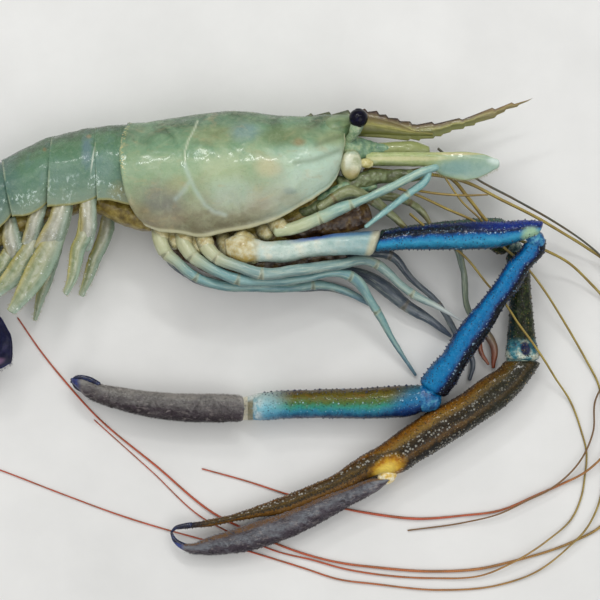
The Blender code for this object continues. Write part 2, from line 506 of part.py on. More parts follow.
FEELERS = {
    "feeler_long_right": (
        (46.1, 2.9, 17.0, 0.8),
        (57.6, 2.2, 16.4, 0.8),
        (70.4, 1.3, 15.8, 0.8),
        (77.4, -0.3, 15.4, 0.75),
        (90.2, -6.4, 14.4, 0.7),
        (101.8, -12.2, 12.5, 0.7),
        (109.4, -16.6, 9.5, 0.65),
        (117.4, -21.4, 6.0, 0.65),
        (125.4, -27.2, 3.2, 0.6),
        (133.1, -40.0, 1.2, 0.6),
        (137.0, -64.0, 0.65, 0.55),
        (133.1, -92.8, 0.6, 0.55),
        (121.6, -112.0, 0.6, 0.55),
        (113.6, -116.2, 0.6, 0.55),
        (92.8, -122.9, 0.6, 0.55),
        (84.5, -124.8, 0.65, 0.6),
        (68.5, -125.8, 0.65, 0.6),
        (49.9, -124.5, 0.6, 0.55),
        (37.8, -122.9, 0.6, 0.5),
        (25.6, -119.7, 0.6, 0.5),
        (17.0, -116.5, 0.6, 0.5),
        (8.0, -112.3, 0.6, 0.5),
        (-1.0, -107.8, 0.6, 0.5),
        (-20.8, -91.8, 0.55, 0.45),
        (-40.6, -75.2, 0.5, 0.4),
        (-50.6, -64.0, 0.5, 0.4),
        (-57.3, -55.7, 0.45, 0.35),
        (-65.3, -44.2, 0.4, 0.3),
    ),
    "feeler_long_left": (
        (46.7, 3.8, 13.2, 0.8),
        (57.6, 2.6, 13.8, 0.8),
        (69.1, 3.2, 14.0, 0.8),
        (74.2, 0.3, 14.0, 0.8),
        (80.0, -6.4, 13.9, 0.8),
        (85.8, -13.4, 13.8, 0.75),
        (92.8, -17.9, 13.4, 0.7),
        (104.0, -22.4, 12.2, 0.65),
        (111.4, -26.2, 8.6, 0.6),
        (119.0, -33.0, 4.0, 0.6),
        (122.9, -37.1, 2.2, 0.6),
        (128.6, -45.4, 0.7, 0.55),
        (131.8, -60.8, 0.6, 0.55),
        (129.3, -80.0, 1.4, 0.55),
        (122.9, -89.0, 2.0, 0.55),
        (117.4, -93.8, 1.9, 0.5),
        (109.4, -97.9, 0.7, 0.5),
        (102.1, -101.1, 0.6, 0.5),
        (89.9, -106.2, 0.6, 0.5),
        (78.1, -107.8, 0.6, 0.5),
        (62.4, -108.8, 0.65, 0.6),
        (50.6, -107.5, 0.65, 0.55),
        (38.4, -105.3, 0.55, 0.45),
        (21.1, -100.8, 0.5, 0.4),
        (8.0, -96.6, 0.45, 0.35),
        (-5.8, -92.8, 0.4, 0.3),
    ),
    "feeler_short_dark": (
        (69.8, 9.9, 16.8, 0.55),
        (75.2, 5.4, 16.6, 0.55),
        (81.6, 0.6, 17.0, 0.5),
        (94.1, -6.1, 14.6, 0.5),
        (107.2, -13.4, 11.0, 0.5),
        (117.4, -20.2, 8.0, 0.45),
        (122.2, -24.3, 6.2, 0.45),
        (127.4, -35.2, 3.8, 0.45),
        (128.3, -49.6, 2.4, 0.45),
        (124.8, -62.4, 2.0, 0.4),
        (120.6, -71.0, 2.0, 0.4),
        (120.0, -80.6, 2.0, 0.4),
        (116.8, -88.6, 2.0, 0.4),
        (105.3, -99.8, 2.2, 0.4),
        (99.2, -102.7, 2.2, 0.4),
        (89.9, -107.2, 2.0, 0.35),
        (77.8, -110.2, 1.0, 0.35),
        (60.5, -112.6, 0.4, 0.3),
    ),
    "feeler_short_right": (
        (56.6, -2.6, 17.0, 0.6),
        (62.1, -4.5, 16.4, 0.6),
        (72.6, -9.3, 15.4, 0.6),
        (82.2, -13.8, 14.8, 0.6),
        (89.6, -20.5, 13.4, 0.55),
        (98.9, -28.8, 11.8, 0.55),
        (104.3, -35.8, 9.0, 0.5),
        (109.1, -43.2, 6.0, 0.5),
        (113.6, -50.6, 3.4, 0.5),
        (117.8, -57.9, 1.6, 0.5),
        (121.6, -65.3, 0.6, 0.45),
        (123.5, -76.8, 0.5, 0.45),
        (123.5, -89.6, 0.5, 0.45),
        (121.6, -104.6, 1.0, 0.45),
        (116.8, -113.3, 2.0, 0.45),
        (113.3, -116.8, 2.0, 0.4),
        (101.4, -126.1, 0.9, 0.4),
        (89.6, -130.2, 0.5, 0.4),
        (70.4, -131.8, 0.5, 0.4),
        (49.9, -129.9, 0.5, 0.4),
        (37.8, -128.3, 0.5, 0.4),
        (26.9, -124.8, 0.5, 0.4),
        (16.6, -121.6, 0.5, 0.4),
        (4.8, -118.1, 0.5, 0.4),
        (-7.0, -115.2, 0.45, 0.35),
        (-30.1, -108.5, 0.45, 0.35),
        (-51.2, -100.8, 0.4, 0.3),
        (-70.4, -93.4, 0.4, 0.3),
        (-79.4, -90.2, 0.35, 0.25),
    ),
    "feeler_short_left": (
        (60.8, -10.9, 15.2, 0.6),
        (65.3, -14.7, 15.4, 0.6),
        (70.4, -18.6, 15.6, 0.55),
        (77.8, -24.0, 14.0, 0.55),
        (86.4, -34.2, 10.8, 0.5),
        (90.9, -39.0, 10.8, 0.5),
        (95.7, -46.1, 11.0, 0.5),
        (100.2, -52.2, 11.0, 0.5),
        (104.3, -58.2, 8.6, 0.5),
        (107.8, -63.7, 5.0, 0.45),
        (112.3, -70.4, 1.6, 0.45),
        (116.2, -80.6, 0.5, 0.4),
        (117.9, -87.7, 0.45, 0.4),
        (117.4, -94.7, 0.45, 0.4),
        (116.2, -101.8, 0.45, 0.4),
        (113.3, -108.5, 0.6, 0.4),
        (105.3, -115.8, 1.8, 0.4),
        (94.1, -122.9, 2.1, 0.4),
        (84.5, -127.0, 1.2, 0.4),
        (68.5, -128.0, 0.5, 0.4),
        (49.9, -126.7, 0.5, 0.4),
        (40.0, -125.0, 0.5, 0.4),
        (29.8, -122.2, 0.5, 0.4),
        (17.6, -119.2, 0.5, 0.35),
        (12.8, -117.4, 0.5, 0.35),
        (3.8, -113.6, 0.5, 0.35),
        (-5.4, -108.8, 0.45, 0.3),
        (-22.4, -93.4, 0.4, 0.25),
        (-40.6, -77.1, 0.35, 0.25),
    ),
    "feeler_inner_right": (
        (70.1, 7.0, 16.8, 0.45),
        (71.7, 1.3, 17.3, 0.45),
        (73.9, -2.2, 16.9, 0.45),
        (77.4, -7.0, 16.2, 0.45),
        (82.9, -12.2, 15.5, 0.4),
        (87.0, -16.6, 15.1, 0.35),
    ),
    "feeler_inner_left": (
        (61.4, -3.2, 17.8, 0.55),
        (70.1, -4.5, 18.2, 0.55),
        (78.1, -5.0, 18.2, 0.5),
        (85.4, -4.8, 18.0, 0.35),
    ),
}
SWIMMERETS = {
    "swimmeret_1_right": (
        (-44.8, -8.3, -39.4, -8.3, 21.4, 1.0),
        (-45.1, -13.4, -40.0, -14.1, 21.4, 1.0),
        (-45.8, -17.9, -41.0, -19.2, 21.2, 1.1),
        (-47.4, -21.1, -42.9, -23.0, 21.0, 0.9),
        (-48.3, -26.2, -43.8, -27.8, 20.8, 0.8),
        (-49.3, -31.0, -45.1, -33.0, 20.6, 0.7),
        (-50.2, -35.2, -47.7, -36.8, 20.4, 0.5),
    ),
    "swimmeret_2_right": (
        (-53.8, -10.2, -47.0, -10.2, 19.8, 1.0),
        (-54.4, -14.1, -48.0, -15.0, 19.8, 1.1),
        (-56.0, -17.9, -49.6, -19.8, 19.7, 1.1),
        (-59.2, -23.0, -51.8, -26.2, 19.6, 0.9),
        (-63.0, -29.4, -55.7, -33.3, 19.4, 0.8),
        (-66.6, -35.8, -60.2, -39.4, 19.2, 0.7),
        (-68.8, -40.6, -64.0, -43.2, 19.0, 0.5),
    ),
    "swimmeret_3_right": (
        (-61.4, -14.1, -56.0, -12.8, 17.2, 1.0),
        (-61.8, -17.9, -56.0, -18.6, 17.2, 1.1),
        (-64.6, -23.0, -58.9, -25.6, 17.1, 0.9),
        (-69.8, -29.4, -63.4, -33.3, 17.0, 0.8),
        (-74.9, -35.2, -69.8, -38.7, 16.8, 0.6),
    ),
    "swimmeret_4_right": (
        (-68.8, -20.2, -63.0, -16.6, 15.0, 1.0),
        (-69.8, -22.4, -63.4, -21.8, 15.0, 1.1),
        (-72.3, -25.6, -66.6, -28.2, 14.9, 0.9),
        (-76.8, -31.4, -71.7, -34.6, 14.8, 0.7),
    ),
    "swimmeret_5_right": (
        (-74.9, -26.2, -71.0, -23.0, 13.0, 0.8),
        (-76.2, -29.4, -71.7, -28.8, 12.9, 0.8),
        (-78.7, -33.9, -74.9, -35.8, 12.8, 0.6),
    ),
    "swimmeret_1_left": (
        (-38.4, -12.5, -34.2, -16.3, 7.4, 1.0),
        (-39.4, -17.3, -35.2, -19.2, 7.2, 1.1),
        (-42.2, -24.0, -38.4, -26.2, 7.0, 0.9),
        (-44.5, -30.4, -40.6, -32.3, 6.8, 0.7),
        (-46.1, -35.8, -42.9, -37.4, 6.6, 0.5),
    ),
    "swimmeret_2_left": (
        (-53.8, -10.9, -48.6, -10.9, 6.2, 1.0),
        (-54.1, -15.4, -49.3, -16.0, 6.2, 1.1),
        (-55.7, -22.4, -51.2, -24.3, 6.0, 0.9),
        (-58.2, -30.7, -53.8, -32.6, 5.8, 0.8),
        (-60.2, -39.0, -56.6, -40.0, 5.6, 0.6),
        (-60.8, -44.2, -58.2, -44.8, 5.4, 0.5),
    ),
    "swimmeret_3_left": (
        (-61.4, -14.1, -56.0, -14.1, 8.6, 1.0),
        (-62.4, -18.6, -57.0, -19.2, 8.6, 1.1),
        (-66.6, -24.3, -60.8, -26.9, 8.5, 0.8),
        (-71.7, -30.7, -66.6, -33.9, 8.4, 0.6),
    ),
    "swimmeret_4_left": (
        (-68.5, -20.2, -63.4, -17.9, 6.4, 1.0),
        (-70.4, -23.7, -64.6, -24.3, 6.4, 1.0),
        (-73.6, -28.2, -68.5, -30.7, 6.3, 0.8),
        (-77.4, -33.3, -73.6, -35.8, 6.2, 0.6),
    ),
    "swimmeret_5_left": (
        (-74.9, -26.2, -71.0, -24.3, 3.4, 0.8),
        (-76.8, -30.7, -72.3, -30.7, 3.3, 0.8),
        (-79.4, -34.6, -76.2, -36.5, 3.2, 0.6),
    ),
}

COLOURS = {
    "shell_green": ((132, 162, 130), 0.22),
    "tail_green": ((98, 136, 120), 0.24),
    "claw_blue": ((38, 116, 176), 0.26),
    "claw_brown": ((96, 72, 32), 0.32),
    "claw_fur": ((84, 78, 78), 0.7),
    "leg_pale": ((142, 176, 170), 0.28),
    "leg_grey": ((98, 104, 112), 0.3),
    "feeler_amber": ((178, 128, 66), 0.35),
    "eye_black": ((28, 27, 42), 0.15),
    "flesh_olive": ((134, 116, 62), 0.35),
    "swimmeret_yellow": ((156, 160, 118), 0.35),
    "fan_navy": ((34, 40, 66), 0.3),
    "scale_pale": ((164, 182, 142), 0.28),
}


def linear(level):
    """A colour level of 0 to 255 as linear light."""
    share = level / 255.0
    if share <= 0.04045:
        return share / 12.92
    return ((share + 0.055) / 1.055) ** 2.4


def material(name):
    """The named surface, made on first use."""
    found = bpy.data.materials.get(name)
    if found:
        return found
    colour, roughness = COLOURS[name]
    made = bpy.data.materials.new(name)
    made.use_nodes = True
    shader = made.node_tree.nodes["Principled BSDF"]
    shader.inputs["Base Color"].default_value = tuple(linear(level) for level in colour) + (1.0,)
    shader.inputs["Roughness"].default_value = roughness
    shader.inputs["Metallic"].default_value = 0.0
    return made


def refine(rows, steps=SPAN_STEPS):
    """A smooth run through every row, with `steps` rows for each span."""
    rows = np.array(rows, float)
    middle = rows[:, :2]
    if rows.shape[1] > 5:
        middle = (rows[:, :2] + rows[:, 2:4]) / 2.0
    knots = np.concatenate(([0.0], np.cumsum(np.linalg.norm(np.diff(middle, axis=0), axis=1))))
    slopes = np.gradient(rows, knots, axis=0)
    out = [rows[0]]
    for index in range(len(rows) - 1):
        span = knots[index + 1] - knots[index]
        for step in range(1, steps + 1):
            t = step / steps
            out.append(
                (2 * t**3 - 3 * t**2 + 1) * rows[index]
                + (t**3 - 2 * t**2 + t) * span * slopes[index]
                + (3 * t**2 - 2 * t**3) * rows[index + 1]
                + (t**3 - t**2) * span * slopes[index + 1]
            )
    return np.array(out)


def thin_out(rows, slack):
    """The rows that a straight run between their neighbours would miss by more than the slack."""
    if len(rows) < 3:
        return rows
    run = rows[-1] - rows[0]
    length = max(float(run @ run), 1e-9)
    share = np.clip((rows - rows[0]) @ run / length, 0.0, 1.0)[:, None]
    misses = np.linalg.norm(rows - rows[0] - share * run, axis=1)
    worst = int(np.argmax(misses))
    if misses[worst] <= slack:
        return np.array([rows[0], rows[-1]])
    first = thin_out(rows[: worst + 1], slack)
    second = thin_out(rows[worst:], slack)
    return np.vstack((first, second[1:]))


def oval(sides, power=2.3):
    """Points around a slightly squared oval, as shares of its two half sizes."""
    points = []
    for index in range(sides):
        angle = 2.0 * math.pi * (index + 0.5) / sides
        across = math.copysign(abs(math.cos(angle)) ** (2.0 / power), math.cos(angle))
        up = math.copysign(abs(math.sin(angle)) ** (2.0 / power), math.sin(angle))
        points.append((across, up))
    return points


def capped(rings, start, end, turns=(0.5, 0.87)):
    """The rings with rounded ends that stand out by `start` and `end` shares of the ring's size."""
    rings = [np.array(ring) for ring in rings]
    tips = []
    for outer, inner, share in ((rings[0], rings[1], start), (rings[-1], rings[-2], end)):
        centre = outer.mean(axis=0)
        away = centre - inner.mean(axis=0)
        away = away / np.linalg.norm(away)
        size = float(np.linalg.norm(outer - centre, axis=1).min())
        extra = []
        if share > 0.0:
            for turn in turns:
                shrink = math.sqrt(1.0 - turn**2)
                extra.append(centre + (outer - centre) * shrink + away * size * share * turn)
        tips.append((extra, centre + away * size * share))
    return tips[0][0][::-1] + rings + tips[1][0], tips[0][1], tips[1][1]


def skin(rings, first_tip, last_tip):
    """Vertices and faces of a closed skin over the rings."""
    sides = len(rings[0])
    verts = [tuple(point) for ring in rings for point in ring]
    faces = []
    for row in range(len(rings) - 1):
        for index in range(sides):
            after = (index + 1) % sides
            low = row * sides
            faces.append((low + index, low + after, low + sides + after, low + sides + index))
    start = len(verts)
    verts.append(tuple(first_tip))
    verts.append(tuple(last_tip))
    last = (len(rings) - 1) * sides
    for index in range(sides):
        after = (index + 1) % sides
        faces.append((start, after, index))
        faces.append((start + 1, last + index, last + after))
    return verts, faces


def add_object(name, verts, faces, surface):
    """One closed body, pressed flat where it would go below the surface it lies on."""
    mesh = bpy.data.meshes.new(name)
    mesh.from_pydata([(x * MM, y * MM, max(z, 0.0) * MM) for x, y, z in verts], [], faces)
    work = bmesh.new()
    work.from_mesh(mesh)
    bmesh.ops.triangulate(work, faces=work.faces[:])
    bmesh.ops.recalc_face_normals(work, faces=work.faces[:])
    work.to_mesh(mesh)
    work.free()
    mesh.materials.append(material(surface))
    made = bpy.data.objects.new(name, mesh)
    bpy.context.collection.objects.link(made)
    return made


def shell_outline():
    """The full shell outline from its half, as a closed round."""
    half = list(SHELL_HALF)
    return half + [(height, -width) for height, width in half[-2:0:-1]]


def shell(name, rows, surface, slack=SHELL_SLACK):
    """A shell that arches over the body, from rows of back point, edge point, bow, height and half width."""
    rings = []
    for row in thin_out(refine(rows), slack):
        top, low = row[0:2], row[2:4]
        bow, height, half = row[4:7]
        centre, axis = (top + low) / 2.0, (top - low) / 2.0
        ahead = np.array((axis[1], -axis[0])) / np.linalg.norm(axis)
        ring = []
        for along, across in shell_outline():
            plan = centre + axis * along + ahead * bow * (1.0 - abs(along) ** 3)
            ring.append((plan[0], plan[1], height + half * across))
        rings.append(ring)
    rings, first, last = capped(rings, 0.0, 0.0)
    return add_object(name, *skin(rings, first, last), surface)


def strip(name, rows, surface, sides, slack=LIMB_SLACK, start=0.5, end=0.5):
    """A solid between two edges in the plan, from rows of both edge points, height and half thickness."""
    outline = oval(sides)
    rings = []
    for row in thin_out(refine(rows), slack):
        centre, reach = (row[0:2] + row[2:4]) / 2.0, (row[0:2] - row[2:4]) / 2.0
        ring = []
        for across, up in outline:
            plan = centre + reach * across
            ring.append((plan[0], plan[1], row[4] + row[5] * up))
        rings.append(ring)
    rings, first, last = capped(rings, start, end)
    return add_object(name, *skin(rings, first, last), surface)


def limb(name, rows, surface, sides, slack=LIMB_SLACK, start=0.7, end=1.2):
    """A limb around a line, from rows of its middle, height, half width and half thickness."""
    path = thin_out(refine([row if len(row) == 5 else row + row[3:] for row in rows]), slack)
    heading = np.gradient(path[:, :3], axis=0)
    outline = oval(sides, 2.0)
    rings = []
    for row, ahead in zip(path, heading):
        ahead = ahead / np.linalg.norm(ahead)
        side = np.cross((0.0, 0.0, 1.0), ahead)
        side = side / np.linalg.norm(side)
        up = np.cross(ahead, side)
        ring = [row[:3] + side * row[3] * across + up * row[4] * rise for across, rise in outline]
        rings.append(ring)
    rings, first, last = capped(rings, start, end)
    return add_object(name, *skin(rings, first, last), surface)


def along(points, where):
    """Heights of a plan line at the given places along X."""
    points = np.array(points)
    return np.interp(where, points[:, 0], points[:, 1])


def rostrum_blade():
    """The toothed blade of the rostrum, thin across and sharp at both edges."""
    places = sorted({point[0] for point in BLADE_TOP} | {point[0] for point in BLADE_LOW})
    top_smooth = np.array(BLADE_TOP)[::3]
    rings = []
    for place in places:
        top, low = float(along(BLADE_TOP, place)), float(along(BLADE_LOW, place))
        ridge = float(along(top_smooth, place))
        share = (place - places[0]) / (places[-1] - places[0])
        half = BLADE_HALF * (1.0 - 0.6 * share)
        high = low + 0.66 * (ridge - low)
        deep = low + 0.30 * (ridge - low)
        rings.append(
            [
                (place, top, BLADE_HEIGHT),
                (place, min(high, top - 0.1), BLADE_HEIGHT + half),
                (place, max(deep, low + 0.1), BLADE_HEIGHT + half),
                (place, low, BLADE_HEIGHT),
                (place, max(deep, low + 0.1), BLADE_HEIGHT - half),
                (place, min(high, top - 0.1), BLADE_HEIGHT - half),
            ]
        )
    first = np.mean(np.array(rings[0]), axis=0)
    last = np.array((BLADE_TIP[0], BLADE_TIP[1], BLADE_HEIGHT))
    return add_object("rostrum_blade", *skin([np.array(ring) for ring in rings], first, last), "shell_green")


def unite(target, others):
    """Joins the other bodies into the target as one solid."""
    group = bpy.data.collections.new("joining")
    bpy.context.scene.collection.children.link(group)
    for other in others:
        group.objects.link(other)
    union = target.modifiers.new("union", "BOOLEAN")
    union.operation = "UNION"
    union.solver = "EXACT"
    union.operand_type = "COLLECTION"
    union.collection = group
    bpy.ops.object.select_all(action="DESELECT")
    bpy.context.view_layer.objects.active = target
    target.select_set(True)
    bpy.ops.object.modifier_apply(modifier=union.name)
    for other in others:
        bpy.data.objects.remove(other, do_unlink=True)
    bpy.data.collections.remove(group)
    work = bmesh.new()
    work.from_mesh(target.data)
    bmesh.ops.remove_doubles(work, verts=work.verts[:], dist=JOIN_DISTANCE)
    bmesh.ops.triangulate(work, faces=work.faces[:])
    bmesh.ops.recalc_face_normals(work, faces=work.faces[:])
    work.to_mesh(target.data)
    work.free()
    keep = material(target.data.materials[0].name)
    target.data.materials.clear()
    target.data.materials.append(keep)


def build_body():
    """Carapace with its rostrum, the tail's segments, the flesh below them and the tail fan."""
    carapace = shell("carapace", CARAPACE, "shell_green")
    root = strip("rostrum_root", ROSTRUM_ROOT, "shell_green", CLAW_SIDES)
    unite(carapace, [root, rostrum_blade()])
    for number, rows in enumerate(SEGMENTS, start=1):
        shell(f"tail_segment_{number}", rows, "tail_green")
    strip("thorax", THORAX, "flesh_olive", FLESH_SIDES)
    strip("belly", BELLY, "flesh_olive", FLESH_SIDES)
    for name, rows in FAN.items():
        strip(name, rows, "fan_navy", PLATE_SIDES, end=2.0)


def build_head():
    """Eyes, the roots and scales of the antennae, feelers and mouth legs."""
    for name, rows in EYES.items():
        limb(name, rows, "eye_black", PLATE_SIDES, end=0.5)
    for name, rows in ANTENNA_ROOTS.items():
        strip(name, rows, "leg_pale", PLATE_SIDES)
    strip("head_flesh", HEAD_FLESH, "flesh_olive", PLATE_SIDES)
    for name, rows in SCALES.items():
        strip(name, rows, "scale_pale", PLATE_SIDES, end=2.4)
    strip("antennule_stalk", ANTENNULE_STALK, "shell_green", PLATE_SIDES)
    for name, rows in FEELERS.items():
        limb(name, rows, "feeler_amber", FEELER_SIDES, slack=FEELER_SLACK)
    for name, rows in MOUTH_LEGS.items():
        limb(name, rows, "flesh_olive", LEG_SIDES)


def build_limbs():
    """Big claws, small first legs, walking legs and swimmerets."""
    for name, rows in CLAW_ROWS.items():
        surface = "claw_blue" if name.endswith("right") else "claw_brown"
        if "finger" in name:
            surface = "claw_fur"
        if "base" in name:
            surface = "leg_pale"
        free_end = "palm" in name or "finger" in name
        strip(name, rows, surface, CLAW_SIDES, start=JOINT_ROUND, end=1.0 if free_end else JOINT_ROUND)
    first_right = limb("first_leg_right", FIRST_LEG_RIGHT, "leg_pale", LEG_SIDES)
    unite(first_right, [limb("first_hand", FIRST_HAND_RIGHT, "leg_pale", LEG_SIDES)])
    first_left = limb("first_leg_left", FIRST_LEG_LEFT, "leg_pale", LEG_SIDES)
    unite(first_left, [limb("first_pincer", FIRST_PINCER_LEFT, "leg_pale", LEG_SIDES)])
    for name, rows in LEGS.items():
        limb(name, rows, "leg_pale" if name.endswith("right") else "leg_grey", LEG_SIDES)
    for name, rows in SWIMMERETS.items():
        strip(name, rows, "swimmeret_yellow", LEG_SIDES, end=1.6)


for old in list(bpy.data.objects):
    bpy.data.objects.remove(old, do_unlink=True)
build_body()
build_head()
build_limbs()
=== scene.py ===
import math

import bmesh
import bpy
import numpy as np
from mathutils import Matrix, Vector


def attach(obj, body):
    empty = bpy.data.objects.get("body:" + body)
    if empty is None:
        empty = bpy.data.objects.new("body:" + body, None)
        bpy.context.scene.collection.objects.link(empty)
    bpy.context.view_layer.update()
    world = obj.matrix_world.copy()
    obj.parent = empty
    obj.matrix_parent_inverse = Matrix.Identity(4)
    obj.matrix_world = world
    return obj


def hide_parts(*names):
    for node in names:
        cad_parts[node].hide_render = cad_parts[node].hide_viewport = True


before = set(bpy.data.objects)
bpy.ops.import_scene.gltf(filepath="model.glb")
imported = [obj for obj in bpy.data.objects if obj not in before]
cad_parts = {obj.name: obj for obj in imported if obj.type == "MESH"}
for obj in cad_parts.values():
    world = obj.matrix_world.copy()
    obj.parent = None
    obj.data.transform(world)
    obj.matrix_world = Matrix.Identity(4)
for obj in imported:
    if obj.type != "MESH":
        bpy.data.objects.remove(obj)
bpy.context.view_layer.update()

MM = 0.001
QUICK_GAP = 1.0
# The picture's grid in the plan: millimetres per unit, and the grid's point at the frame's origin.
PLAN_SCALE = 0.32
PLAN_X, PLAN_Y = 220.0, 180.0
CURVE_STEPS = 16
OUTLINE_STEPS = 12
SHELL_SIDES, SHELL_GAP = 260, 0.45
TAIL_SIDES, TAIL_GAP = 220, 0.32
CLAW_SIDES, CLAW_GAP = 96, 0.35
PLATE_SIDES, PLATE_GAP = 64, 0.4
PLUME_GAP = 0.35
LINE_START, LINE_END = 0.02, 0.98
FUR_WIDTH, FRINGE_WIDTH = 0.06, 0.05
FLOOR_SIZE = 6.0
CAMERA_HEIGHT = 2.014
CAMERA_LENS = 375.0
WORLD_LIGHT = 0.5


def px(x, y):
    """A point of the plan, from the picture's grid, in millimetres."""
    return ((x - PLAN_X) * PLAN_SCALE, (PLAN_Y - y) * PLAN_SCALE)


def px_x(x):
    return px(x, 0)[0]


def px_y(y):
    return px(0, y)[1]


def shades(dark, middle, light):
    """Three evenly spaced stops of a colour ramp."""
    return ((0.3, dark), (0.5, middle), (0.7, light))


BLADE_HALF = 1.2
BLADE_HEIGHT = 16.2

# Half outline of a shell across the body: along the body's height, then across its width.
SHELL_HALF = (
    (1.0, 0.0), (0.93, 0.27), (0.72, 0.58), (0.42, 0.85), (0.12, 0.99), (-0.18, 1.0), (-0.45, 0.98),
    (-0.76, 0.87), (-1.0, 0.70), (-0.97, 0.58), (-0.84, 0.36), (-0.79, 0.0),
)

# Shell rings: back point, belly-side point, bow along the body, height of the middle, half width.
CARAPACE = (
    (-29.4, 18.2, -23.7, -14.2, -4.5, 15.9, 14.2), (-24.6, 18.3, -20.2, -15.7, -3.0, 16.0, 15.2),
    (-17.0, 19.5, -13.8, -16.7, -1.4, 16.0, 16.1), (-7.7, 20.8, -6.1, -17.9, -0.4, 16.0, 16.5),
    (1.6, 21.8, 1.9, -16.3, 0.0, 16.0, 16.5), (10.2, 21.9, 10.2, -14.7, 0.2, 16.0, 16.2),
    (18.6, 20.6, 17.9, -12.5, 0.6, 16.2, 15.3), (25.6, 20.3, 25.0, -8.8, 1.0, 16.2, 13.8),
    (31.4, 20.7, 31.4, -4.5, 1.2, 16.2, 11.8), (35.2, 21.0, 35.2, -1.8, 1.0, 16.2, 10.0),
    (37.1, 20.3, 37.1, 1.0, 0.8, 16.2, 8.8), (38.5, 19.4, 38.3, 4.6, 0.6, 16.2, 7.4),
    (39.5, 18.4, 38.9, 8.2, 0.4, 16.2, 6.0),
)
BLADE_TOP = (
    (22.4, 18.9), (28.2, 20.7), (29.1, 21.4), (29.9, 20.6), (34.9, 21.8), (35.7, 20.9),
    (41.0, 22.4), (41.8, 21.4), (46.4, 22.8), (47.2, 21.8), (50.2, 22.1), (51.0, 20.9),
    (53.1, 20.9), (53.9, 19.9), (56.8, 19.7), (57.6, 18.8), (60.8, 18.7), (61.4, 17.9),
    (63.0, 17.7), (67.7, 18.6), (68.6, 17.9), (76.5, 19.8), (77.4, 19.3), (87.0, 23.1),
    (88.0, 22.6), (93.3, 24.8), (94.1, 24.3), (98.2, 25.5),
)
BLADE_LOW = (
    (22.4, 14.1), (40.0, 14.1), (52.5, 13.4), (60.2, 12.5), (60.8, 13.1), (63.7, 12.5),
    (64.3, 13.1), (68.2, 13.2), (68.8, 13.9), (70.7, 13.9), (71.4, 14.6), (73.6, 15.2),
    (74.2, 15.9), (77.8, 16.3), (78.4, 17.0), (81.3, 17.4), (81.9, 18.2), (87.8, 19.8),
    (88.6, 20.7), (90.9, 21.7), (91.5, 22.5), (95.0, 23.3), (95.7, 24.0), (98.2, 25.0),
)
BLADE_TIP = (100.2, 26.2)
SEGMENTS = (
    (
        (-30.6, 17.9, -29.8, -7.7, -1.7, 15.3, 13.1), (-35.5, 17.6, -34.9, -6.4, -0.6, 14.7, 13.3),
        (-40.0, 16.9, -39.0, -6.2, 0.0, 14.0, 13.2),
    ),
    (
        (-40.7, 16.7, -40.0, -6.1, 0.0, 13.7, 13.6), (-47.4, 15.5, -46.1, -7.7, 0.0, 13.5, 13.9),
        (-53.8, 14.0, -55.0, -8.3, 0.0, 13.2, 13.6),
    ),
    (
        (-54.6, 13.7, -56.0, -8.0, 0.0, 12.8, 13.2), (-62.1, 10.4, -60.8, -11.0, 0.0, 12.9, 13.2),
        (-69.8, 6.2, -66.2, -11.5, 0.0, 12.3, 12.7),
    ),
    (
        (-70.7, 5.6, -67.2, -11.8, 0.0, 12.0, 12.3), (-80.3, 0.3, -72.3, -17.0, 0.0, 11.7, 12.1),
        (-89.0, -7.7, -76.8, -22.7, 0.0, 11.0, 11.3),
    ),
    (
        (-89.8, -8.6, -77.3, -23.5, 0.0, 10.6, 10.9), (-96.0, -16.6, -80.0, -26.9, 0.0, 10.4, 10.7),
        (-100.2, -26.2, -81.9, -31.0, 0.0, 9.5, 9.7),
    ),
    (
        (-100.5, -27.2, -82.2, -32.0, 0.0, 9.1, 9.3), (-101.8, -35.2, -83.8, -36.5, 0.0, 8.8, 9.0),
        (-99.5, -44.5, -86.4, -41.0, 0.0, 8.0, 7.6),
    ),
)
# Edge rows: one edge point, the other edge point, height of the middle, half thickness.
FAN = {
    "tail_fan_right_outer": (
        (-90.2, -45.4, -91.5, -53.1, 13.6, 0.8), (-84.5, -43.5, -85.4, -57.6, 13.7, 0.9),
        (-76.8, -42.4, -76.8, -60.2, 13.7, 0.9), (-70.4, -43.5, -70.4, -60.5, 13.6, 0.8),
        (-67.5, -48.6, -67.4, -58.9, 13.5, 0.6),
    ),
    "tail_fan_right_inner": (
        (-90.2, -44.2, -91.5, -50.6, 11.4, 0.8), (-83.2, -41.9, -83.8, -54.4, 11.5, 0.8),
        (-75.2, -41.9, -75.2, -57.6, 11.5, 0.8), (-70.4, -45.4, -70.4, -57.0, 11.4, 0.6),
    ),
    "telson": (
        (-90.9, -42.2, -92.5, -49.3, 8.8, 1.3), (-83.2, -42.2, -83.8, -49.3, 8.8, 1.3),
        (-75.2, -43.8, -75.5, -48.6, 8.8, 1.0), (-71.0, -45.1, -71.0, -47.4, 8.8, 0.6),
    ),
    "tail_fan_left_inner": (
        (-90.2, -44.2, -91.5, -50.6, 6.2, 0.8), (-83.2, -41.9, -83.8, -54.4, 6.1, 0.8),
        (-75.2, -41.9, -75.2, -57.6, 6.0, 0.8), (-70.4, -45.4, -70.4, -57.0, 6.0, 0.6),
    ),
    "tail_fan_left_outer": (
        (-90.2, -45.4, -91.5, -53.1, 4.0, 0.8), (-84.5, -43.5, -85.4, -57.0, 3.9, 0.9),
        (-76.8, -42.9, -76.8, -58.9, 3.8, 0.9), (-71.7, -44.2, -71.7, -58.2, 3.8, 0.8),
        (-69.1, -48.0, -69.1, -56.3, 3.8, 0.6),
    ),
}
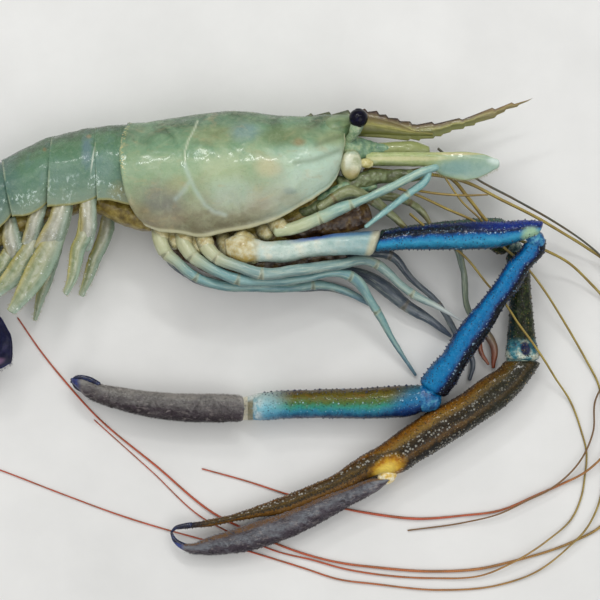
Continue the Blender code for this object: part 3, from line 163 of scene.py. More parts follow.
SCALES = {
    "antenna_scale_right": (
        (46.7, 8.8, 47.4, 4.5, 19.4, 0.9), (52.8, 8.8, 52.8, 4.5, 19.4, 1.0),
        (60.8, 8.8, 60.8, 4.3, 19.3, 1.0), (67.5, 8.8, 67.5, 3.7, 19.2, 1.0),
        (71.0, 8.8, 71.0, 1.4, 19.1, 0.9), (74.2, 8.8, 74.2, 0.5, 19.0, 0.9),
        (77.8, 8.9, 77.8, -0.2, 19.0, 0.9), (81.6, 8.6, 81.6, 0.3, 19.0, 0.8),
        (85.4, 7.8, 85.4, 1.8, 19.0, 0.7), (88.0, 6.8, 88.0, 3.3, 19.0, 0.6),
    ),
    "antenna_scale_left": (
        (46.7, 8.3, 47.4, 4.5, 11.2, 0.9), (52.8, 8.3, 52.8, 4.5, 11.2, 1.0),
        (60.8, 8.3, 60.8, 4.3, 11.3, 1.0), (67.5, 8.3, 67.5, 3.8, 11.4, 1.0),
        (71.0, 8.3, 71.0, 1.9, 11.5, 0.9), (77.8, 8.3, 77.8, 0.3, 11.5, 0.9),
        (81.6, 8.0, 81.6, 1.0, 11.5, 0.8), (85.4, 7.4, 85.4, 2.2, 11.5, 0.7),
    ),
}
ANTENNULE_STALK = (
    (45.4, 11.2, 45.4, 7.7, 15.9, 2.2), (49.9, 11.8, 49.9, 8.3, 15.9, 2.6),
    (55.7, 12.2, 55.7, 8.6, 15.9, 2.5), (62.7, 12.2, 62.7, 8.8, 15.9, 2.2),
    (66.6, 10.9, 66.2, 8.8, 15.9, 1.6),
)
CLAW_ROWS = {
    "claw_base_right": (
        (2.2, -18.9, 2.9, -24.6, 24.6, 2.8), (6.4, -17.4, 7.4, -26.6, 25.2, 4.0),
        (10.2, -18.2, 11.2, -26.2, 25.0, 3.5), (13.1, -19.4, 13.8, -26.2, 24.4, 3.3),
        (19.8, -19.4, 20.5, -26.6, 23.6, 3.9), (29.4, -18.4, 29.4, -24.7, 22.9, 3.7),
        (40.0, -17.0, 40.0, -24.1, 22.4, 3.8), (50.6, -16.2, 47.7, -24.3, 22.0, 3.9),
    ),
    "claw_arm_right": (
        (52.8, -16.5, 49.9, -23.0, 21.8, 3.9), (57.6, -15.7, 57.0, -22.5, 21.7, 4.3),
        (68.2, -14.3, 67.8, -22.3, 21.5, 4.4), (80.0, -13.6, 80.0, -22.3, 21.3, 4.5),
        (90.9, -13.4, 90.6, -21.4, 20.9, 4.5), (98.6, -12.9, 96.0, -19.5, 20.6, 4.1),
        (102.7, -13.3, 100.8, -17.9, 20.4, 3.2),
    ),
    "claw_wrist_right": (
        (97.0, -20.5, 104.3, -19.2, 18.4, 2.6), (96.0, -22.4, 104.0, -22.4, 17.9, 3.3),
        (91.8, -26.9, 98.9, -28.8, 17.2, 3.7), (88.0, -33.0, 95.4, -34.9, 16.2, 4.0),
        (83.8, -38.1, 90.9, -40.3, 15.0, 4.2), (79.7, -43.2, 87.0, -47.4, 13.6, 4.5),
        (74.9, -49.6, 82.2, -54.4, 11.9, 4.9), (71.4, -55.4, 78.4, -60.2, 10.2, 5.2),
        (67.2, -60.0, 75.5, -65.6, 8.6, 5.2), (64.3, -64.0, 72.6, -69.1, 7.3, 4.6),
    ),
    "claw_palm_right": (
        (63.4, -65.6, 66.6, -73.3, 6.2, 4.9), (60.2, -65.8, 62.7, -75.2, 5.9, 5.6),
        (53.8, -66.2, 55.7, -76.2, 5.7, 5.8), (43.2, -66.9, 43.2, -76.4, 5.7, 5.8),
        (33.3, -67.2, 32.6, -76.3, 5.6, 5.7), (21.1, -67.5, 21.1, -76.5, 5.4, 5.5),
        (11.5, -68.5, 11.8, -77.0, 5.2, 5.3), (8.3, -69.4, 8.3, -77.0, 3.6, 3.2),
        (3.8, -69.4, 3.8, -77.1, 2.9, 2.5), (-6.4, -69.1, -6.4, -77.0, 2.8, 2.4),
        (-17.6, -68.6, -17.6, -76.2, 2.8, 2.4), (-30.7, -67.4, -30.7, -73.3, 2.8, 2.3),
        (-39.7, -65.4, -38.7, -70.7, 2.8, 2.1), (-44.2, -64.0, -42.9, -68.6, 3.2, 1.8),
        (-47.0, -64.0, -46.1, -66.2, 4.2, 1.4),
    ),
    "claw_finger_right": (
        (7.0, -69.1, 7.0, -77.1, 9.1, 2.3), (1.6, -68.9, 1.6, -77.4, 8.5, 2.8),
        (-6.4, -68.7, -6.4, -77.4, 8.4, 2.8), (-17.6, -68.3, -17.6, -76.6, 8.3, 2.7),
        (-30.7, -66.9, -30.7, -73.9, 8.2, 2.6), (-39.7, -65.3, -38.7, -71.4, 8.0, 2.3),
        (-44.8, -63.5, -43.8, -69.0, 7.8, 1.8), (-47.0, -63.4, -46.7, -65.9, 7.6, 1.2),
    ),
    "claw_base_left": (
        (2.2, -18.9, 2.9, -24.6, 7.8, 2.8), (6.4, -17.4, 7.4, -26.6, 7.2, 4.0),
        (11.2, -18.2, 12.2, -26.2, 7.2, 3.5), (19.8, -18.9, 20.5, -25.9, 7.2, 3.7),
        (29.4, -17.9, 29.4, -24.6, 7.2, 3.6), (40.0, -16.8, 40.0, -23.7, 7.2, 3.6),
        (49.9, -16.2, 47.7, -23.0, 7.2, 3.7),
    ),
    "claw_arm_left": (
        (52.2, -15.8, 49.9, -22.4, 7.2, 3.7), (57.6, -15.0, 57.0, -21.4, 7.2, 3.9),
        (68.2, -13.7, 67.8, -21.1, 7.1, 4.0), (77.4, -12.8, 77.4, -21.1, 7.0, 4.0),
        (85.8, -12.0, 86.4, -21.8, 6.8, 4.0), (90.6, -12.3, 88.3, -23.4, 6.5, 3.8),
        (94.7, -16.6, 90.6, -23.7, 6.1, 3.2),
    ),
    "claw_wrist_left": (
        (91.8, -25.1, 96.3, -20.2, 5.8, 2.9), (92.2, -27.5, 98.9, -26.2, 5.6, 3.8),
        (92.5, -33.3, 99.5, -32.6, 5.4, 4.2), (92.8, -42.2, 100.5, -42.2, 5.3, 4.5),
        (92.2, -50.9, 101.4, -50.9, 5.2, 4.8), (91.5, -56.3, 102.7, -56.6, 5.1, 4.6),
    ),
    "claw_palm_left": (
        (91.2, -58.4, 102.7, -58.9, 5.1, 4.4), (89.3, -60.5, 98.9, -64.6, 5.3, 5.3),
        (84.5, -63.4, 93.1, -71.0, 5.3, 5.4), (76.2, -69.3, 84.8, -77.1, 5.3, 5.5),
        (67.2, -74.2, 74.6, -83.8, 5.3, 5.5), (58.2, -80.2, 65.3, -89.4, 5.2, 5.3),
        (51.2, -85.1, 57.3, -94.2, 5.0, 5.0), (46.4, -88.0, 49.3, -94.1, 4.9, 4.2),
        (41.6, -91.0, 45.1, -96.5, 4.9, 3.5), (36.2, -94.6, 38.7, -98.7, 4.9, 3.0),
        (27.5, -98.4, 29.1, -102.7, 4.9, 2.7), (19.8, -101.6, 21.1, -105.9, 4.8, 2.5),
        (10.2, -105.2, 10.9, -108.4, 4.6, 2.1), (2.2, -107.8, 2.2, -110.1, 4.4, 1.7),
        (-4.5, -109.1, -4.5, -111.4, 4.2, 1.4), (-10.9, -110.3, -10.9, -112.0, 4.0, 1.1),
        (-14.4, -111.0, -13.8, -112.3, 3.9, 0.8),
    ),
    "claw_finger_left": (
        (52.5, -95.8, 54.7, -96.3, 4.9, 3.6), (48.6, -96.6, 50.6, -99.8, 4.8, 4.0),
        (42.2, -99.2, 43.8, -103.2, 4.8, 3.9), (35.2, -101.3, 36.8, -107.2, 4.8, 3.7),
        (25.6, -105.3, 26.9, -112.6, 4.7, 3.5), (17.9, -107.5, 18.2, -116.2, 4.7, 3.3),
        (12.2, -109.3, 12.2, -118.2, 4.6, 3.0), (4.2, -112.3, 4.2, -119.7, 4.5, 2.6),
        (-3.8, -114.8, -4.5, -120.2, 4.3, 2.2), (-9.0, -116.8, -9.9, -119.6, 4.1, 1.7),
        (-12.5, -116.6, -13.4, -118.1, 4.0, 1.2), (-14.2, -115.2, -15.4, -116.2, 3.9, 0.8),
    ),
}
# Limb rows: middle of the limb, its height, half width, half thickness.
LEGS = {
    "leg_5_right": (
        (-15.0, -19.5, 24.0, 2.3, 2.2), (-17.0, -22.4, 24.0, 2.0, 1.9), (-13.8, -26.2, 24.0, 1.7, 1.7),
        (-7.7, -31.0, 23.5, 1.6, 1.6), (-1.0, -33.4, 21.5, 1.6, 1.5), (12.8, -34.4, 18.5, 1.5, 1.4),
        (25.6, -34.2, 15.5, 1.4, 1.3), (29.4, -33.5, 14.6, 1.6, 1.5), (34.9, -33.9, 13.0, 1.2, 1.2),
        (43.5, -37.1, 10.0, 1.1, 1.0), (48.3, -40.0, 8.0, 0.6, 0.6),
    ),
    "leg_4_right": (
        (-6.7, -20.8, 24.6, 2.3, 2.2), (-8.0, -23.7, 25.0, 2.1, 2.0), (-4.5, -27.2, 25.6, 1.9, 1.8),
        (1.0, -30.1, 26.0, 1.7, 1.7), (5.8, -31.8, 25.8, 1.9, 1.8), (14.4, -32.5, 24.0, 1.6, 1.5),
        (25.6, -31.6, 21.5, 1.5, 1.4), (39.4, -30.0, 18.2, 1.5, 1.4), (41.6, -30.7, 17.4, 1.7, 1.6),
        (48.6, -39.4, 12.5, 1.4, 1.3), (50.2, -41.9, 11.0, 1.4, 1.3), (56.0, -52.2, 5.6, 0.9, 0.9),
        (62.7, -62.4, 1.2, 0.4, 0.4),
    ),
    "leg_3_right": (
        (-2.6, -23.7, 26.0, 2.2, 2.1), (0.6, -25.1, 27.0, 2.0, 1.9), (5.8, -27.7, 27.8, 1.8, 1.7),
        (13.1, -30.0, 27.6, 1.9, 1.8), (25.6, -28.8, 24.8, 1.8, 1.6), (38.4, -27.0, 20.2, 1.7, 1.5),
        (47.4, -25.9, 17.0, 1.5, 1.4), (49.9, -26.9, 16.2, 1.6, 1.5), (59.2, -34.6, 12.2, 1.3, 1.2),
        (61.4, -36.2, 11.4, 1.4, 1.2), (69.8, -40.6, 8.8, 0.9, 0.9), (77.4, -45.0, 6.6, 0.4, 0.4),
    ),
    "leg_5_left": (
        (-15.0, -19.5, 8.6, 2.3, 2.2), (-16.3, -23.0, 7.4, 2.0, 1.9), (-9.0, -30.7, 4.0, 1.6, 1.5),
        (9.6, -34.2, 1.9, 1.5, 1.4), (25.6, -34.4, 1.7, 1.4, 1.3), (35.2, -34.4, 1.5, 1.2, 1.1),
        (43.5, -37.1, 1.3, 1.0, 0.9), (48.3, -40.0, 1.0, 0.5, 0.5),
    ),
    "leg_4_left": (
        (-7.4, -21.1, 7.2, 2.2, 2.1), (-6.7, -25.3, 5.6, 1.9, 1.8), (0.6, -29.4, 5.0, 1.7, 1.6),
        (9.6, -30.7, 5.2, 1.6, 1.5), (25.6, -30.7, 5.2, 1.6, 1.5), (39.0, -29.1, 4.8, 1.7, 1.6),
        (46.7, -30.7, 4.8, 1.9, 1.8), (54.1, -35.5, 5.2, 2.4, 2.0), (59.5, -40.0, 4.8, 2.0, 1.7),
        (68.2, -45.4, 3.8, 1.4, 1.2), (72.3, -48.6, 3.0, 0.9, 0.8), (73.9, -49.9, 2.6, 0.5, 0.5),
    ),
    "leg_3_left": (
        (-1.9, -23.0, 8.2, 2.1, 2.0), (0.6, -26.2, 9.0, 1.9, 1.8), (5.8, -29.0, 9.6, 1.7, 1.6),
        (25.6, -27.8, 9.4, 1.5, 1.4), (40.0, -25.4, 9.4, 1.4, 1.3), (51.2, -23.5, 10.0, 1.4, 1.3),
        (54.4, -24.0, 9.6, 1.5, 1.4), (60.8, -31.0, 6.8, 1.1, 1.0), (70.1, -39.7, 4.2, 1.0, 0.9),
        (76.2, -49.9, 3.0, 1.0, 0.9), (81.3, -59.5, 2.0, 0.8, 0.7), (80.3, -63.7, 1.4, 0.6, 0.6),
    ),
}
FIRST_LEG_RIGHT = (
    (18.2, -16.5, 23.6, 1.8, 1.7), (22.4, -15.8, 23.9, 2.0, 1.8), (32.0, -12.3, 24.8, 2.0, 1.8),
    (39.4, -8.9, 25.2, 1.9, 1.7), (41.9, -8.0, 25.2, 1.6, 1.5), (54.4, -2.6, 24.8, 1.3, 1.3),
    (65.6, 2.8, 24.2, 1.3, 1.3), (68.5, 3.7, 24.0, 1.2, 1.2),
)
FIRST_HAND_RIGHT = (
    (66.6, 2.8, 24.1, 1.0, 1.0), (66.2, 1.0, 23.8, 1.2, 1.1), (59.8, -4.8, 23.2, 1.2, 1.1),
    (52.8, -10.1, 23.8, 1.0, 0.9), (46.7, -14.9, 26.4, 0.6, 0.6),
)
FIRST_LEG_LEFT = (
    (18.2, -16.3, 10.3, 1.5, 1.4), (23.7, -18.2, 11.0, 1.4, 1.3), (29.4, -20.2, 12.6, 1.4, 1.3),
    (40.0, -20.8, 13.0, 1.4, 1.3), (57.6, -20.2, 13.3, 1.4, 1.3), (70.4, -19.2, 13.3, 1.4, 1.3),
    (74.6, -20.2, 13.0, 1.4, 1.3), (77.8, -28.2, 9.4, 1.1, 1.0), (80.0, -42.2, 4.6, 1.0, 0.9),
    (85.1, -48.3, 3.4, 1.3, 1.2), (88.0, -53.8, 2.8, 1.3, 1.1), (87.8, -59.8, 2.2, 0.5, 0.5),
)
FIRST_PINCER_LEFT = (
    (85.3, -48.3, 3.4, 0.7, 0.6), (83.5, -51.5, 3.0, 0.9, 0.8), (83.8, -55.0, 2.6, 0.8, 0.7),
    (86.1, -58.9, 2.2, 0.4, 0.4),
)
MOUTH_LEGS = {
    "mouth_leg_right": (
        (32.0, -9.3, 21.4, 1.7, 1.3), (36.5, -6.1, 21.4, 1.9, 1.5), (41.3, -4.0, 21.3, 2.2, 1.7),
        (48.3, -6.4, 20.6, 1.7, 1.4), (54.4, -10.9, 19.4, 1.4, 1.2), (58.9, -15.0, 18.2, 0.9, 0.8),
    ),
    "mouth_leg_left": (
        (32.0, -9.3, 11.0, 1.7, 1.3), (40.0, -6.4, 11.0, 1.9, 1.5), (52.8, -5.1, 11.4, 1.5, 1.3),
        (61.1, -7.4, 12.4, 1.2, 1.1), (65.3, -10.9, 13.2, 1.0, 0.9), (67.2, -13.8, 13.6, 0.7, 0.6),
    ),
}
EYES = {
    "eye_right": (
        (41.0, 12.5, 20.2, 1.3, 1.3), (42.4, 14.2, 22.6, 1.5, 1.5), (43.4, 16.2, 24.4, 2.0, 1.9),
        (43.8, 18.2, 25.2, 2.9, 2.7), (44.2, 19.5, 25.3, 3.0, 2.9), (44.4, 20.5, 25.3, 2.4, 2.3),
    ),
    "eye_left": (
        (41.0, 12.5, 12.2, 1.3, 1.3), (42.4, 14.2, 9.8, 1.5, 1.5), (43.4, 16.2, 8.0, 2.0, 1.9),
        (43.8, 18.2, 7.2, 2.9, 2.7), (44.2, 19.5, 7.1, 3.0, 2.9), (44.4, 20.5, 7.1, 2.4, 2.3),
    ),
}
ANTENNA_ROOTS = {
    "antenna_root_right": (
        (40.7, 7.2, 40.7, 2.4, 20.8, 1.5), (41.9, 8.6, 41.7, 0.2, 21.3, 2.2),
        (43.4, 8.6, 43.3, -0.2, 21.4, 2.3), (44.8, 7.8, 44.8, 2.2, 21.4, 1.8),
    ),
    "antenna_root_left": (
        (40.7, 7.0, 40.7, 2.4, 11.2, 1.5), (41.9, 8.2, 41.7, 0.2, 10.8, 2.2),
        (43.4, 8.2, 43.3, 0.0, 10.7, 2.3), (44.8, 7.4, 44.8, 2.2, 10.7, 1.8),
    ),
}
HEAD_FLESH = (
    (40.6, 11.4, 40.6, 1.2, 16.2, 1.5), (42.0, 12.2, 42.0, -0.4, 16.2, 1.9),
    (43.4, 10.8, 43.4, 1.4, 16.2, 1.5),
)
FEELERS = {
    "feeler_long_right": (
        (46.1, 2.9, 17.0, 0.8), (57.6, 2.2, 16.4, 0.8), (70.4, 1.3, 15.8, 0.8), (77.4, -0.3, 15.4, 0.75),
        (90.2, -6.4, 14.4, 0.7), (101.8, -12.2, 12.5, 0.7), (109.4, -16.6, 9.5, 0.65),
        (117.4, -21.4, 6.0, 0.65), (125.4, -27.2, 3.2, 0.6), (133.1, -40.0, 1.2, 0.6),
        (137.0, -64.0, 0.65, 0.55), (133.1, -92.8, 0.6, 0.55), (121.6, -112.0, 0.6, 0.55),
        (113.6, -116.2, 0.6, 0.55), (92.8, -122.9, 0.6, 0.55), (84.5, -124.8, 0.65, 0.6),
        (68.5, -125.8, 0.65, 0.6), (49.9, -124.5, 0.6, 0.55), (37.8, -122.9, 0.6, 0.5),
        (25.6, -119.7, 0.6, 0.5), (17.0, -116.5, 0.6, 0.5), (8.0, -112.3, 0.6, 0.5),
        (-1.0, -107.8, 0.6, 0.5), (-20.8, -91.8, 0.55, 0.45), (-40.6, -75.2, 0.5, 0.4),
        (-50.6, -64.0, 0.5, 0.4), (-57.3, -55.7, 0.45, 0.35), (-65.3, -44.2, 0.4, 0.3),
    ),
    "feeler_long_left": (
        (46.7, 3.8, 13.2, 0.8), (57.6, 2.6, 13.8, 0.8), (69.1, 3.2, 14.0, 0.8), (74.2, 0.3, 14.0, 0.8),
        (80.0, -6.4, 13.9, 0.8), (85.8, -13.4, 13.8, 0.75), (92.8, -17.9, 13.4, 0.7),
        (104.0, -22.4, 12.2, 0.65), (111.4, -26.2, 8.6, 0.6), (119.0, -33.0, 4.0, 0.6),
        (122.9, -37.1, 2.2, 0.6), (128.6, -45.4, 0.7, 0.55), (131.8, -60.8, 0.6, 0.55),
        (129.3, -80.0, 1.4, 0.55), (122.9, -89.0, 2.0, 0.55), (117.4, -93.8, 1.9, 0.5),
        (109.4, -97.9, 0.7, 0.5), (102.1, -101.1, 0.6, 0.5), (89.9, -106.2, 0.6, 0.5),
        (78.1, -107.8, 0.6, 0.5), (62.4, -108.8, 0.65, 0.6), (50.6, -107.5, 0.65, 0.55),
        (38.4, -105.3, 0.55, 0.45), (21.1, -100.8, 0.5, 0.4), (8.0, -96.6, 0.45, 0.35),
        (-5.8, -92.8, 0.4, 0.3),
    ),
    "feeler_short_dark": (
        (69.8, 9.9, 16.8, 0.55), (75.2, 5.4, 16.6, 0.55), (81.6, 0.6, 17.0, 0.5), (94.1, -6.1, 14.6, 0.5),
        (107.2, -13.4, 11.0, 0.5), (117.4, -20.2, 8.0, 0.45), (122.2, -24.3, 6.2, 0.45),
        (127.4, -35.2, 3.8, 0.45), (128.3, -49.6, 2.4, 0.45), (124.8, -62.4, 2.0, 0.4),
        (120.6, -71.0, 2.0, 0.4), (120.0, -80.6, 2.0, 0.4), (116.8, -88.6, 2.0, 0.4),
        (105.3, -99.8, 2.2, 0.4), (99.2, -102.7, 2.2, 0.4), (89.9, -107.2, 2.0, 0.35),
        (77.8, -110.2, 1.0, 0.35), (60.5, -112.6, 0.4, 0.3),
    ),
    "feeler_short_right": (
        (56.6, -2.6, 17.0, 0.6), (62.1, -4.5, 16.4, 0.6), (72.6, -9.3, 15.4, 0.6), (82.2, -13.8, 14.8, 0.6),
        (89.6, -20.5, 13.4, 0.55), (98.9, -28.8, 11.8, 0.55), (104.3, -35.8, 9.0, 0.5),
        (109.1, -43.2, 6.0, 0.5), (113.6, -50.6, 3.4, 0.5), (117.8, -57.9, 1.6, 0.5),
        (121.6, -65.3, 0.6, 0.45), (123.5, -76.8, 0.5, 0.45), (123.5, -89.6, 0.5, 0.45),
        (121.6, -104.6, 1.0, 0.45), (116.8, -113.3, 2.0, 0.45), (113.3, -116.8, 2.0, 0.4),
        (101.4, -126.1, 0.9, 0.4), (89.6, -130.2, 0.5, 0.4), (70.4, -131.8, 0.5, 0.4),
        (49.9, -129.9, 0.5, 0.4), (37.8, -128.3, 0.5, 0.4), (26.9, -124.8, 0.5, 0.4),
        (16.6, -121.6, 0.5, 0.4), (4.8, -118.1, 0.5, 0.4), (-7.0, -115.2, 0.45, 0.35),
        (-30.1, -108.5, 0.45, 0.35), (-51.2, -100.8, 0.4, 0.3), (-70.4, -93.4, 0.4, 0.3),
        (-79.4, -90.2, 0.35, 0.25),
    ),
    "feeler_short_left": (
        (60.8, -10.9, 15.2, 0.6), (65.3, -14.7, 15.4, 0.6), (70.4, -18.6, 15.6, 0.55),
        (77.8, -24.0, 14.0, 0.55), (86.4, -34.2, 10.8, 0.5), (90.9, -39.0, 10.8, 0.5),
        (95.7, -46.1, 11.0, 0.5), (100.2, -52.2, 11.0, 0.5), (104.3, -58.2, 8.6, 0.5),
        (107.8, -63.7, 5.0, 0.45), (112.3, -70.4, 1.6, 0.45), (116.2, -80.6, 0.5, 0.4),
        (117.9, -87.7, 0.45, 0.4), (117.4, -94.7, 0.45, 0.4), (116.2, -101.8, 0.45, 0.4),
        (113.3, -108.5, 0.6, 0.4), (105.3, -115.8, 1.8, 0.4), (94.1, -122.9, 2.1, 0.4),
        (84.5, -127.0, 1.2, 0.4), (68.5, -128.0, 0.5, 0.4), (49.9, -126.7, 0.5, 0.4),
        (40.0, -125.0, 0.5, 0.4), (29.8, -122.2, 0.5, 0.4), (17.6, -119.2, 0.5, 0.35),
        (12.8, -117.4, 0.5, 0.35), (3.8, -113.6, 0.5, 0.35), (-5.4, -108.8, 0.45, 0.3),
        (-22.4, -93.4, 0.4, 0.25), (-40.6, -77.1, 0.35, 0.25),
    ),
    "feeler_inner_right": (
        (70.1, 7.0, 16.8, 0.45), (71.7, 1.3, 17.3, 0.45), (73.9, -2.2, 16.9, 0.45),
        (77.4, -7.0, 16.2, 0.45), (82.9, -12.2, 15.5, 0.4), (87.0, -16.6, 15.1, 0.35),
    ),
    "feeler_inner_left": (
        (61.4, -3.2, 17.8, 0.55), (70.1, -4.5, 18.2, 0.55), (78.1, -5.0, 18.2, 0.5),
        (85.4, -4.8, 18.0, 0.35),
    ),
}
SWIMMERETS = {
    "swimmeret_1_right": (
        (-44.8, -8.3, -39.4, -8.3, 21.4, 1.0), (-45.1, -13.4, -40.0, -14.1, 21.4, 1.0),
        (-45.8, -17.9, -41.0, -19.2, 21.2, 1.1), (-47.4, -21.1, -42.9, -23.0, 21.0, 0.9),
        (-48.3, -26.2, -43.8, -27.8, 20.8, 0.8), (-49.3, -31.0, -45.1, -33.0, 20.6, 0.7),
        (-50.2, -35.2, -47.7, -36.8, 20.4, 0.5),
    ),
    "swimmeret_2_right": (
        (-53.8, -10.2, -47.0, -10.2, 19.8, 1.0), (-54.4, -14.1, -48.0, -15.0, 19.8, 1.1),
        (-56.0, -17.9, -49.6, -19.8, 19.7, 1.1), (-59.2, -23.0, -51.8, -26.2, 19.6, 0.9),
        (-63.0, -29.4, -55.7, -33.3, 19.4, 0.8), (-66.6, -35.8, -60.2, -39.4, 19.2, 0.7),
        (-68.8, -40.6, -64.0, -43.2, 19.0, 0.5),
    ),
    "swimmeret_3_right": (
        (-61.4, -14.1, -56.0, -12.8, 17.2, 1.0), (-61.8, -17.9, -56.0, -18.6, 17.2, 1.1),
        (-64.6, -23.0, -58.9, -25.6, 17.1, 0.9), (-69.8, -29.4, -63.4, -33.3, 17.0, 0.8),
        (-74.9, -35.2, -69.8, -38.7, 16.8, 0.6),
    ),
    "swimmeret_4_right": (
        (-68.8, -20.2, -63.0, -16.6, 15.0, 1.0), (-69.8, -22.4, -63.4, -21.8, 15.0, 1.1),
        (-72.3, -25.6, -66.6, -28.2, 14.9, 0.9), (-76.8, -31.4, -71.7, -34.6, 14.8, 0.7),
    ),
    "swimmeret_5_right": (
        (-74.9, -26.2, -71.0, -23.0, 13.0, 0.8), (-76.2, -29.4, -71.7, -28.8, 12.9, 0.8),
        (-78.7, -33.9, -74.9, -35.8, 12.8, 0.6),
    ),
    "swimmeret_1_left": (
        (-38.4, -12.5, -34.2, -16.3, 7.4, 1.0), (-39.4, -17.3, -35.2, -19.2, 7.2, 1.1),
        (-42.2, -24.0, -38.4, -26.2, 7.0, 0.9), (-44.5, -30.4, -40.6, -32.3, 6.8, 0.7),
        (-46.1, -35.8, -42.9, -37.4, 6.6, 0.5),
    ),
    "swimmeret_2_left": (
        (-53.8, -10.9, -48.6, -10.9, 6.2, 1.0), (-54.1, -15.4, -49.3, -16.0, 6.2, 1.1),
        (-55.7, -22.4, -51.2, -24.3, 6.0, 0.9), (-58.2, -30.7, -53.8, -32.6, 5.8, 0.8),
        (-60.2, -39.0, -56.6, -40.0, 5.6, 0.6), (-60.8, -44.2, -58.2, -44.8, 5.4, 0.5),
    ),
    "swimmeret_3_left": (
        (-61.4, -14.1, -56.0, -14.1, 8.6, 1.0), (-62.4, -18.6, -57.0, -19.2, 8.6, 1.1),
        (-66.6, -24.3, -60.8, -26.9, 8.5, 0.8), (-71.7, -30.7, -66.6, -33.9, 8.4, 0.6),
    ),
    "swimmeret_4_left": (
        (-68.5, -20.2, -63.4, -17.9, 6.4, 1.0), (-70.4, -23.7, -64.6, -24.3, 6.4, 1.0),
        (-73.6, -28.2, -68.5, -30.7, 6.3, 0.8), (-77.4, -33.3, -73.6, -35.8, 6.2, 0.6),
    ),
    "swimmeret_5_left": (
        (-74.9, -26.2, -71.0, -24.3, 3.4, 0.8), (-76.8, -30.7, -72.3, -30.7, 3.3, 0.8),
        (-79.4, -34.6, -76.2, -36.5, 3.2, 0.6),
    ),
}
ROOT_SHOWN = (
    (30.0, 18.0, 30.0, 12.0, 16.2, 5.0), (35.2, 20.4, 35.2, 10.6, 16.2, 7.2),
    (40.0, 21.0, 40.0, 12.6, 16.2, 6.6), (44.2, 21.0, 43.5, 14.0, 16.2, 3.8),
    (49.3, 20.0, 48.6, 14.4, 16.2, 2.0), (55.0, 18.3, 54.4, 14.2, 16.2, 1.45),
    (60.2, 16.7, 59.8, 14.0, 16.2, 1.2), (68.0, 15.0, 67.8, 14.0, 16.2, 1.0),
)
# Marks on the shell, on the picture's grid: each a line and its soft width in millimetres.
GROOVES = (
    (((198, 121), (195, 130), (189, 142), (186, 152), (185.6, 166)), 0.3),
)
BANDS = (
    (((185.6, 165), (188, 172), (191, 180), (197, 192), (206, 206), (215, 212), (226, 215)), 0.75),
    (((191, 182), (184, 192), (177, 200)), 0.7),
)
FOLDS = (
    (((338, 152), (318, 160), (296, 164)), 0.9), (((345, 136), (330, 140), (316, 146)), 0.8),
)
# Tinted places: middle and half sizes on the picture's grid, turn, strength and colour.
CARAPACE_SPOTS = (
    (164, 200, 20, 16, 0, 0.75, (118, 118, 110)), (138, 214, 16, 10, -30, 0.6, (132, 118, 82)),
    (160, 222, 26, 8, 10, 0.45, (150, 136, 112)), (176, 186, 12, 8, 30, 0.4, (166, 158, 118)),
    (218, 136, 24, 10, 5, 0.5, (146, 152, 108)), (246, 133, 14, 9, 0, 0.7, (116, 144, 146)),
    (280, 137, 20, 9, 6, 0.8, (104, 122, 82)), (299, 143, 6, 4, 0, 0.6, (146, 112, 68)),
    (302, 131, 14, 6, 5, 0.5, (128, 140, 102)), (330, 138, 16, 7, 8, 0.6, (132, 140, 100)),
    (268, 168, 12, 9, 0, 0.55, (200, 186, 146)), (224, 172, 22, 16, 0, 0.5, (180, 190, 152)),
    (232, 194, 24, 14, 0, 0.45, (176, 194, 182)), (290, 200, 18, 8, -25, 0.5, (152, 150, 124)),
    (290, 192, 6, 3, 0, 0.5, (120, 140, 136)), (262, 206, 16, 10, 0, 0.3, (182, 172, 146)),
    (222, 122, 40, 5, 0, 0.5, (92, 124, 100)),
)
TAIL_SPOTS = (
    (88, 152, 5, 15, 0, 0.6, (98, 122, 136)), (89.5, 137, 2.4, 2.0, 0, 0.45, (160, 124, 72)),
    (45.6, 150, 2.0, 1.8, 0, 0.45, (146, 108, 60)), (46, 142, 1.2, 9, 10, 0.6, (64, 88, 70)),
    (94, 160, 0.9, 12, -8, 0.7, (206, 214, 196)), (104, 168, 10, 16, 0, 0.35, (124, 152, 146)),
    (62, 176, 18, 12, 0, 0.3, (128, 150, 140)), (120, 200, 10, 14, 0, 0.7, (142, 126, 70)),
    (8, 178, 12, 16, 0, 0.4, (78, 110, 104)),
)
# Parts between the shell's front edge and the antennae: rows on the picture's grid, their
# height and half thickness.
FACE_STRIPS = (
    (
        (
            ((336, 134), (336, 152), 17.4, 2.0), ((346, 134), (346, 158), 18.4, 2.8),
            ((356, 137), (356, 160), 18.6, 2.8), ((366, 140), (366, 160), 18.2, 2.4),
            ((376, 143), (376, 156), 17.4, 1.6), ((388, 145), (388, 153), 17.2, 1.1),
            ((398, 148), (398, 151), 17.0, 0.7),
        ),
        0,
    ),
    (
        (
            ((338, 176), (342, 190), 17.8, 2.2), ((350, 176), (352, 192), 18.6, 2.6),
            ((362, 172), (364, 190), 18.4, 2.4), ((376, 170), (380, 184), 17.8, 2.0),
            ((392, 170), (398, 183), 17.4, 1.6), ((410, 170), (416, 181), 17.2, 1.3),
            ((424, 172), (428, 178), 17.0, 0.9),
        ),
        1,
    ),
    (
        (
            ((318, 196), (322, 208), 18.6, 1.8), ((332, 187), (336, 202), 19.0, 2.2),
            ((346, 181), (350, 196), 19.0, 2.2), ((362, 182), (364, 193), 18.4, 1.6),
            ((374, 183), (376, 189), 18.0, 0.9),
        ),
        0,
    ),
    (
        (
            ((300, 208), (304, 218), 18.6, 1.8), ((314, 202), (320, 214), 19.2, 2.0),
            ((330, 198), (336, 208), 19.2, 1.8), ((346, 194), (350, 202), 18.8, 1.2),
        ),
        1,
    ),
)
